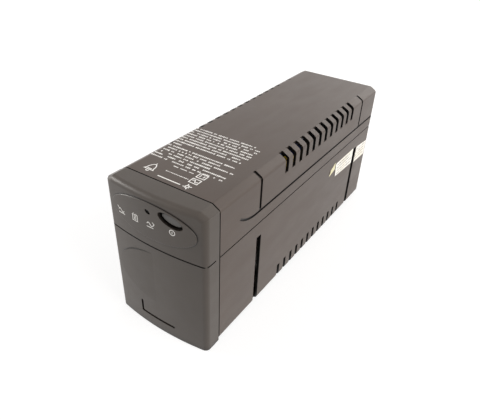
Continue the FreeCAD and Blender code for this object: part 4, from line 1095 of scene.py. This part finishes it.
@dataclass
class SideLabel:
    """The paper label on the right side: two pieces beside the tall slot and a torn strip.

    Attributes:
        thick: Thickness of the paper in millimetres.
        ink: Thickness of the print in millimetres.
        curl: How far its free end lifts, in millimetres.
        tear: How far the torn end wanders, in millimetres.
        sheets: Name, finish and corners of each piece; a corner is a distance behind the bezel
            seam and a level above the floor, from the lower front one round.
        rows: The faint rows of marks on it.
    """

    thick: float = 0.1
    ink: float = 0.02
    curl: float = 0.5
    tear: float = 0.5
    sheets: tuple[tuple[str, Finish | None, tuple[Spot, Spot, Spot, Spot]], ...] = (
        ("label_front", None, ((216.8, 65.2), (262.4, 62.7), (262.4, 81.7), (213.6, 82.0))),
        ("label_rear", None, ((271.0, 59.6), (302.6, 58.6), (303.2, 76.8), (271.0, 79.8))),
        ("label_scrap", AGED_PAPER, ((199.4, 72.6), (213.4, 76.0), (213.0, 84.4), (201.2, 78.6))),
    )
    rows: tuple[Rows, ...] = (
        Rows(219.0, 78.4, 41.0, 4, pitch=3.8, cell=1.5, height=1.3, seed=31),
        Rows(273.5, 75.0, 26.0, 4, pitch=3.8, cell=1.5, height=1.3, seed=33),
    )

    def build(self, paints: Paints) -> None:
        """Stick the label on the side face and print its rows."""
        low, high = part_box("top_cover")
        for name, finish, corners in self.sheets:
            material = paints.get("aged_paper", finish) if finish else paints.get("label_paper")
            piece = new_piece(name, self.sheet(name, corners, low.y, high.x), material)
            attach(piece, HOUSING)
            if name == "label_front":
                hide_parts("side_label")
            LOG.info("stuck on %s", piece.name)
        turn = Matrix(((0.0, 0.0, 1.0), (1.0, 0.0, 0.0), (0.0, 1.0, 0.0))).to_4x4()
        side = Matrix.Translation(Vector((high.x, low.y, 0.0))) @ turn
        for number, rows in enumerate(self.rows, start=1):
            piece = rows.build(f"label_rows_{number}", paints.get("print_grey", PRINT_GREY), self.ink)
            place = Vector((rows.start, rows.level, self.thick + self.ink / 2)) * MM
            piece.data.transform(side @ Matrix.Translation(place))
            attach(piece, HOUSING)
            LOG.info("printed %s", piece.name)

    def sheet(self, name: str, corners: tuple[Spot, Spot, Spot, Spot], seam: float,
              face: float) -> bpy.types.Mesh:
        """A closed thin sheet between four corners, its free front end a little lifted.

        Args:
            name: The mesh's name.
            corners: The four corners.
            seam: Place of the bezel seam in metres.
            face: Place of the side face in metres.

        Returns:
            The mesh.
        """
        along_count, up_count = 24, 8
        curled_share, torn_share, tear_turns = 0.12, 0.125, 19
        front_low, rear_low, rear_top, front_top = corners
        mesh = bmesh.new()
        layers = []
        for height in (0.0, self.thick):
            grid = []
            for along in range(along_count + 1):
                run_share = along / along_count
                low, top = between(front_low, rear_low, run_share), between(front_top, rear_top, run_share)
                lift = self.curl * max(0.0, 1 - run_share / curled_share) ** 2
                reach = self.tear * (1 - min(1.0, run_share / torn_share))
                for up in range(up_count + 1):
                    up_share = up / up_count
                    back, level = between(low, top, up_share)
                    back += reach * math.sin(up_share * tear_turns)
                    place = Vector((face + (height + lift * up_share) * MM, seam + back * MM, level * MM))
                    grid.append(mesh.verts.new(place))
            layers.append(grid)
        inner, outer = layers
        stride = up_count + 1
        for along in range(along_count):
            for up in range(up_count):
                first = along * stride + up
                ring = (first, first + stride, first + stride + 1, first + 1)
                mesh.faces.new([outer[index] for index in ring])
                mesh.faces.new([inner[index] for index in reversed(ring)])
        rim = list(range(stride))
        rim += [along * stride + up_count for along in range(1, along_count + 1)]
        rim += [along_count * stride + up for up in reversed(range(up_count))]
        rim += [along * stride for along in reversed(range(1, along_count))]
        for first, second in zip(rim, rim[1:] + rim[:1]):
            mesh.faces.new((inner[first], inner[second], outer[second], outer[first]))
        return finish_mesh(mesh, name)


@dataclass
class PowerStore(SubAssembly):
    """The sealed battery with its pads, bracket and screws."""

    nodes: tuple[str, ...] = ("battery_jar", "battery_lid", "battery_terminals", "battery_pads",
                              "battery_bracket", "bracket_screws")


@dataclass
class Electronics(SubAssembly):
    """The main board on the bracket's deck and everything soldered to it."""

    nodes: tuple[str, ...] = ("main_board", "board_posts", "board_screws", "relays", "heat_sinks",
                              "power_transistors", "filter_capacitors", "film_capacitors",
                              "surge_varistors", "fuse_holder", "blade_fuse", "control_chips",
                              "board_connectors")


@dataclass
class Transformer(SubAssembly):
    """The transformer's core, bobbin, winding, strap and screws."""

    nodes: tuple[str, ...] = ("transformer_core", "transformer_bobbin", "transformer_winding",
                              "transformer_strap", "transformer_screws")


@dataclass
class RearSockets(SubAssembly):
    """Everything that the rear panel carries."""

    nodes: tuple[str, ...] = ("mains_inlet", "inlet_pins", "output_outlets", "outlet_contacts",
                              "breaker_body", "breaker_collar", "breaker_button", "data_jacks",
                              "jack_contacts", "data_port", "earth_screw")


@dataclass
class Wiring(SubAssembly):
    """The leads and cables inside the housing."""

    nodes: tuple[str, ...] = ("lead_connectors", "red_lead", "black_lead", "transformer_leads",
                              "mains_wires", "earth_wire", "control_cable")


# ---------------------------------------------------------------- studio


@dataclass
class Studio:
    """White floor, soft light and the camera.

    Attributes:
        eye: Camera position in metres.
        azimuth: Heading of the camera from +Y towards -X, in degrees.
        elevation: How far it looks down, in degrees.
        roll: How far its right side tips up, in degrees.
        lens: Focal length on a 36 mm sensor, in millimetres.
        floor_size: Side of the floor in metres.
        floor_tone: Share of the light that the floor gives back.
        floor_glow: What the camera sees of the floor beyond that, which makes it white.
        sky: Brightness of the world as light.
        daylight: Colour of the lamps.
        lamps: Name, direction from the object, strength and apparent size in degrees.
    """

    eye: Triple = (0.2132, -0.3663, 0.3335)
    azimuth: float = 33.05
    elevation: float = 34.76
    roll: float = 2.25
    lens: float = 35.52
    floor_size: float = 12.0
    floor_tone: float = 0.4
    floor_glow: float = 0.72
    sky: float = 0.36
    daylight: Triple = (1.0, 0.97, 0.94)
    lamps: tuple[tuple[str, Triple, float, float], ...] = (
        ("window_left", (-0.92, -0.28, 0.28), 2.3, 20.0),
        ("window_right", (0.90, 0.10, 0.38), 2.3, 50.0),
        ("window_rear", (0.15, 0.92, 0.38), 0.9, 50.0),
        ("fill_front", (0.45, -0.70, 0.57), 0.2, 50.0),
    )

    def build(self) -> None:
        """Set up everything that isn't part of the object."""
        self.camera()
        self.floor()
        self.world()
        for name, toward, strength, spread in self.lamps:
            self.sun(name, toward, strength, spread)
        bpy.context.scene.view_settings.view_transform = "Standard"

    def camera(self) -> None:
        """Place the camera."""
        turn, tilt, roll = (math.radians(angle) for angle in (self.azimuth, self.elevation, self.roll))
        ahead = Vector((-math.sin(turn) * math.cos(tilt), math.cos(turn) * math.cos(tilt), -math.sin(tilt)))
        level = Vector((math.cos(turn), math.sin(turn), 0.0))
        upright = level.cross(ahead)
        right = level * math.cos(roll) + upright * math.sin(roll)
        over = upright * math.cos(roll) - level * math.sin(roll)
        data = bpy.data.cameras.new("camera")
        data.lens = self.lens
        data.sensor_width = 36.0
        data.clip_start = 0.01
        holder = bpy.data.objects.new("camera", data)
        axes = Matrix((right, over, -ahead)).transposed().to_4x4()
        holder.matrix_world = Matrix.Translation(Vector(self.eye)) @ axes
        bpy.context.scene.collection.objects.link(holder)
        bpy.context.scene.camera = holder

    def floor(self) -> None:
        """Lay the white floor, which keeps the object's shadow."""
        mesh = bmesh.new()
        bmesh.ops.create_grid(mesh, x_segments=1, y_segments=1, size=self.floor_size / 2)
        roughness, gloss = 0.9, 0.1
        surface = Surface("studio_floor", (self.floor_tone,) * 3, roughness, 0.0)
        surface.give("Specular IOR Level", gloss)
        surface.give("Emission Color", (1.0, 1.0, 1.0, 1.0))
        surface.give("Emission Strength", surface.math("MULTIPLY", surface.seen_directly(), self.floor_glow))
        floor = new_piece("studio_floor", finish_mesh(mesh, "studio_floor"), surface.material)

    def world(self) -> None:
        """White where it is seen, mirrored or looked at through clear plastic, softer as light."""
        world = bpy.data.worlds.new("studio")
        world.use_nodes = True
        graph = Graph(world.node_tree)
        background = graph.tree.nodes["Background"]
        graph.feed(background.inputs["Color"], (1.0, 1.0, 1.0, 1.0))
        links = {"Value": graph.seen_directly(), "To Min": self.sky, "To Max": 1.0}
        ranged = graph.node("ShaderNodeMapRange", links)
        graph.feed(background.inputs["Strength"], ranged.outputs["Result"])
        bpy.context.scene.world = world

    def sun(self, name: str, toward: Triple, strength: float, spread: float) -> None:
        """Add one wide soft light.

        Args:
            name: The lamp's name.
            toward: Direction from the object to the lamp.
            strength: Strength of the lamp.
            spread: Apparent size of the lamp in degrees.
        """
        data = bpy.data.lights.new(name, "SUN")
        data.energy = strength
        data.color = self.daylight
        data.angle = math.radians(spread)
        lamp = bpy.data.objects.new(name, data)
        lamp.matrix_world = Vector(toward).to_track_quat("Z", "Y").to_matrix().to_4x4()
        bpy.context.scene.collection.objects.link(lamp)


def main() -> None:
    """Build the looks round the frame."""
    logging.basicConfig(level=logging.INFO, format="%(name)s: %(message)s")
    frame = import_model()
    paints = Paints()
    for part in (Casing(), Controls(), PowerStore(), Electronics(), Transformer(), RearSockets(), Wiring()):
        part.build(frame, paints)
    TopPrint().build(paints)
    SideLabel().build(paints)
    Studio().build()


if __name__ == "__main__":
    main()
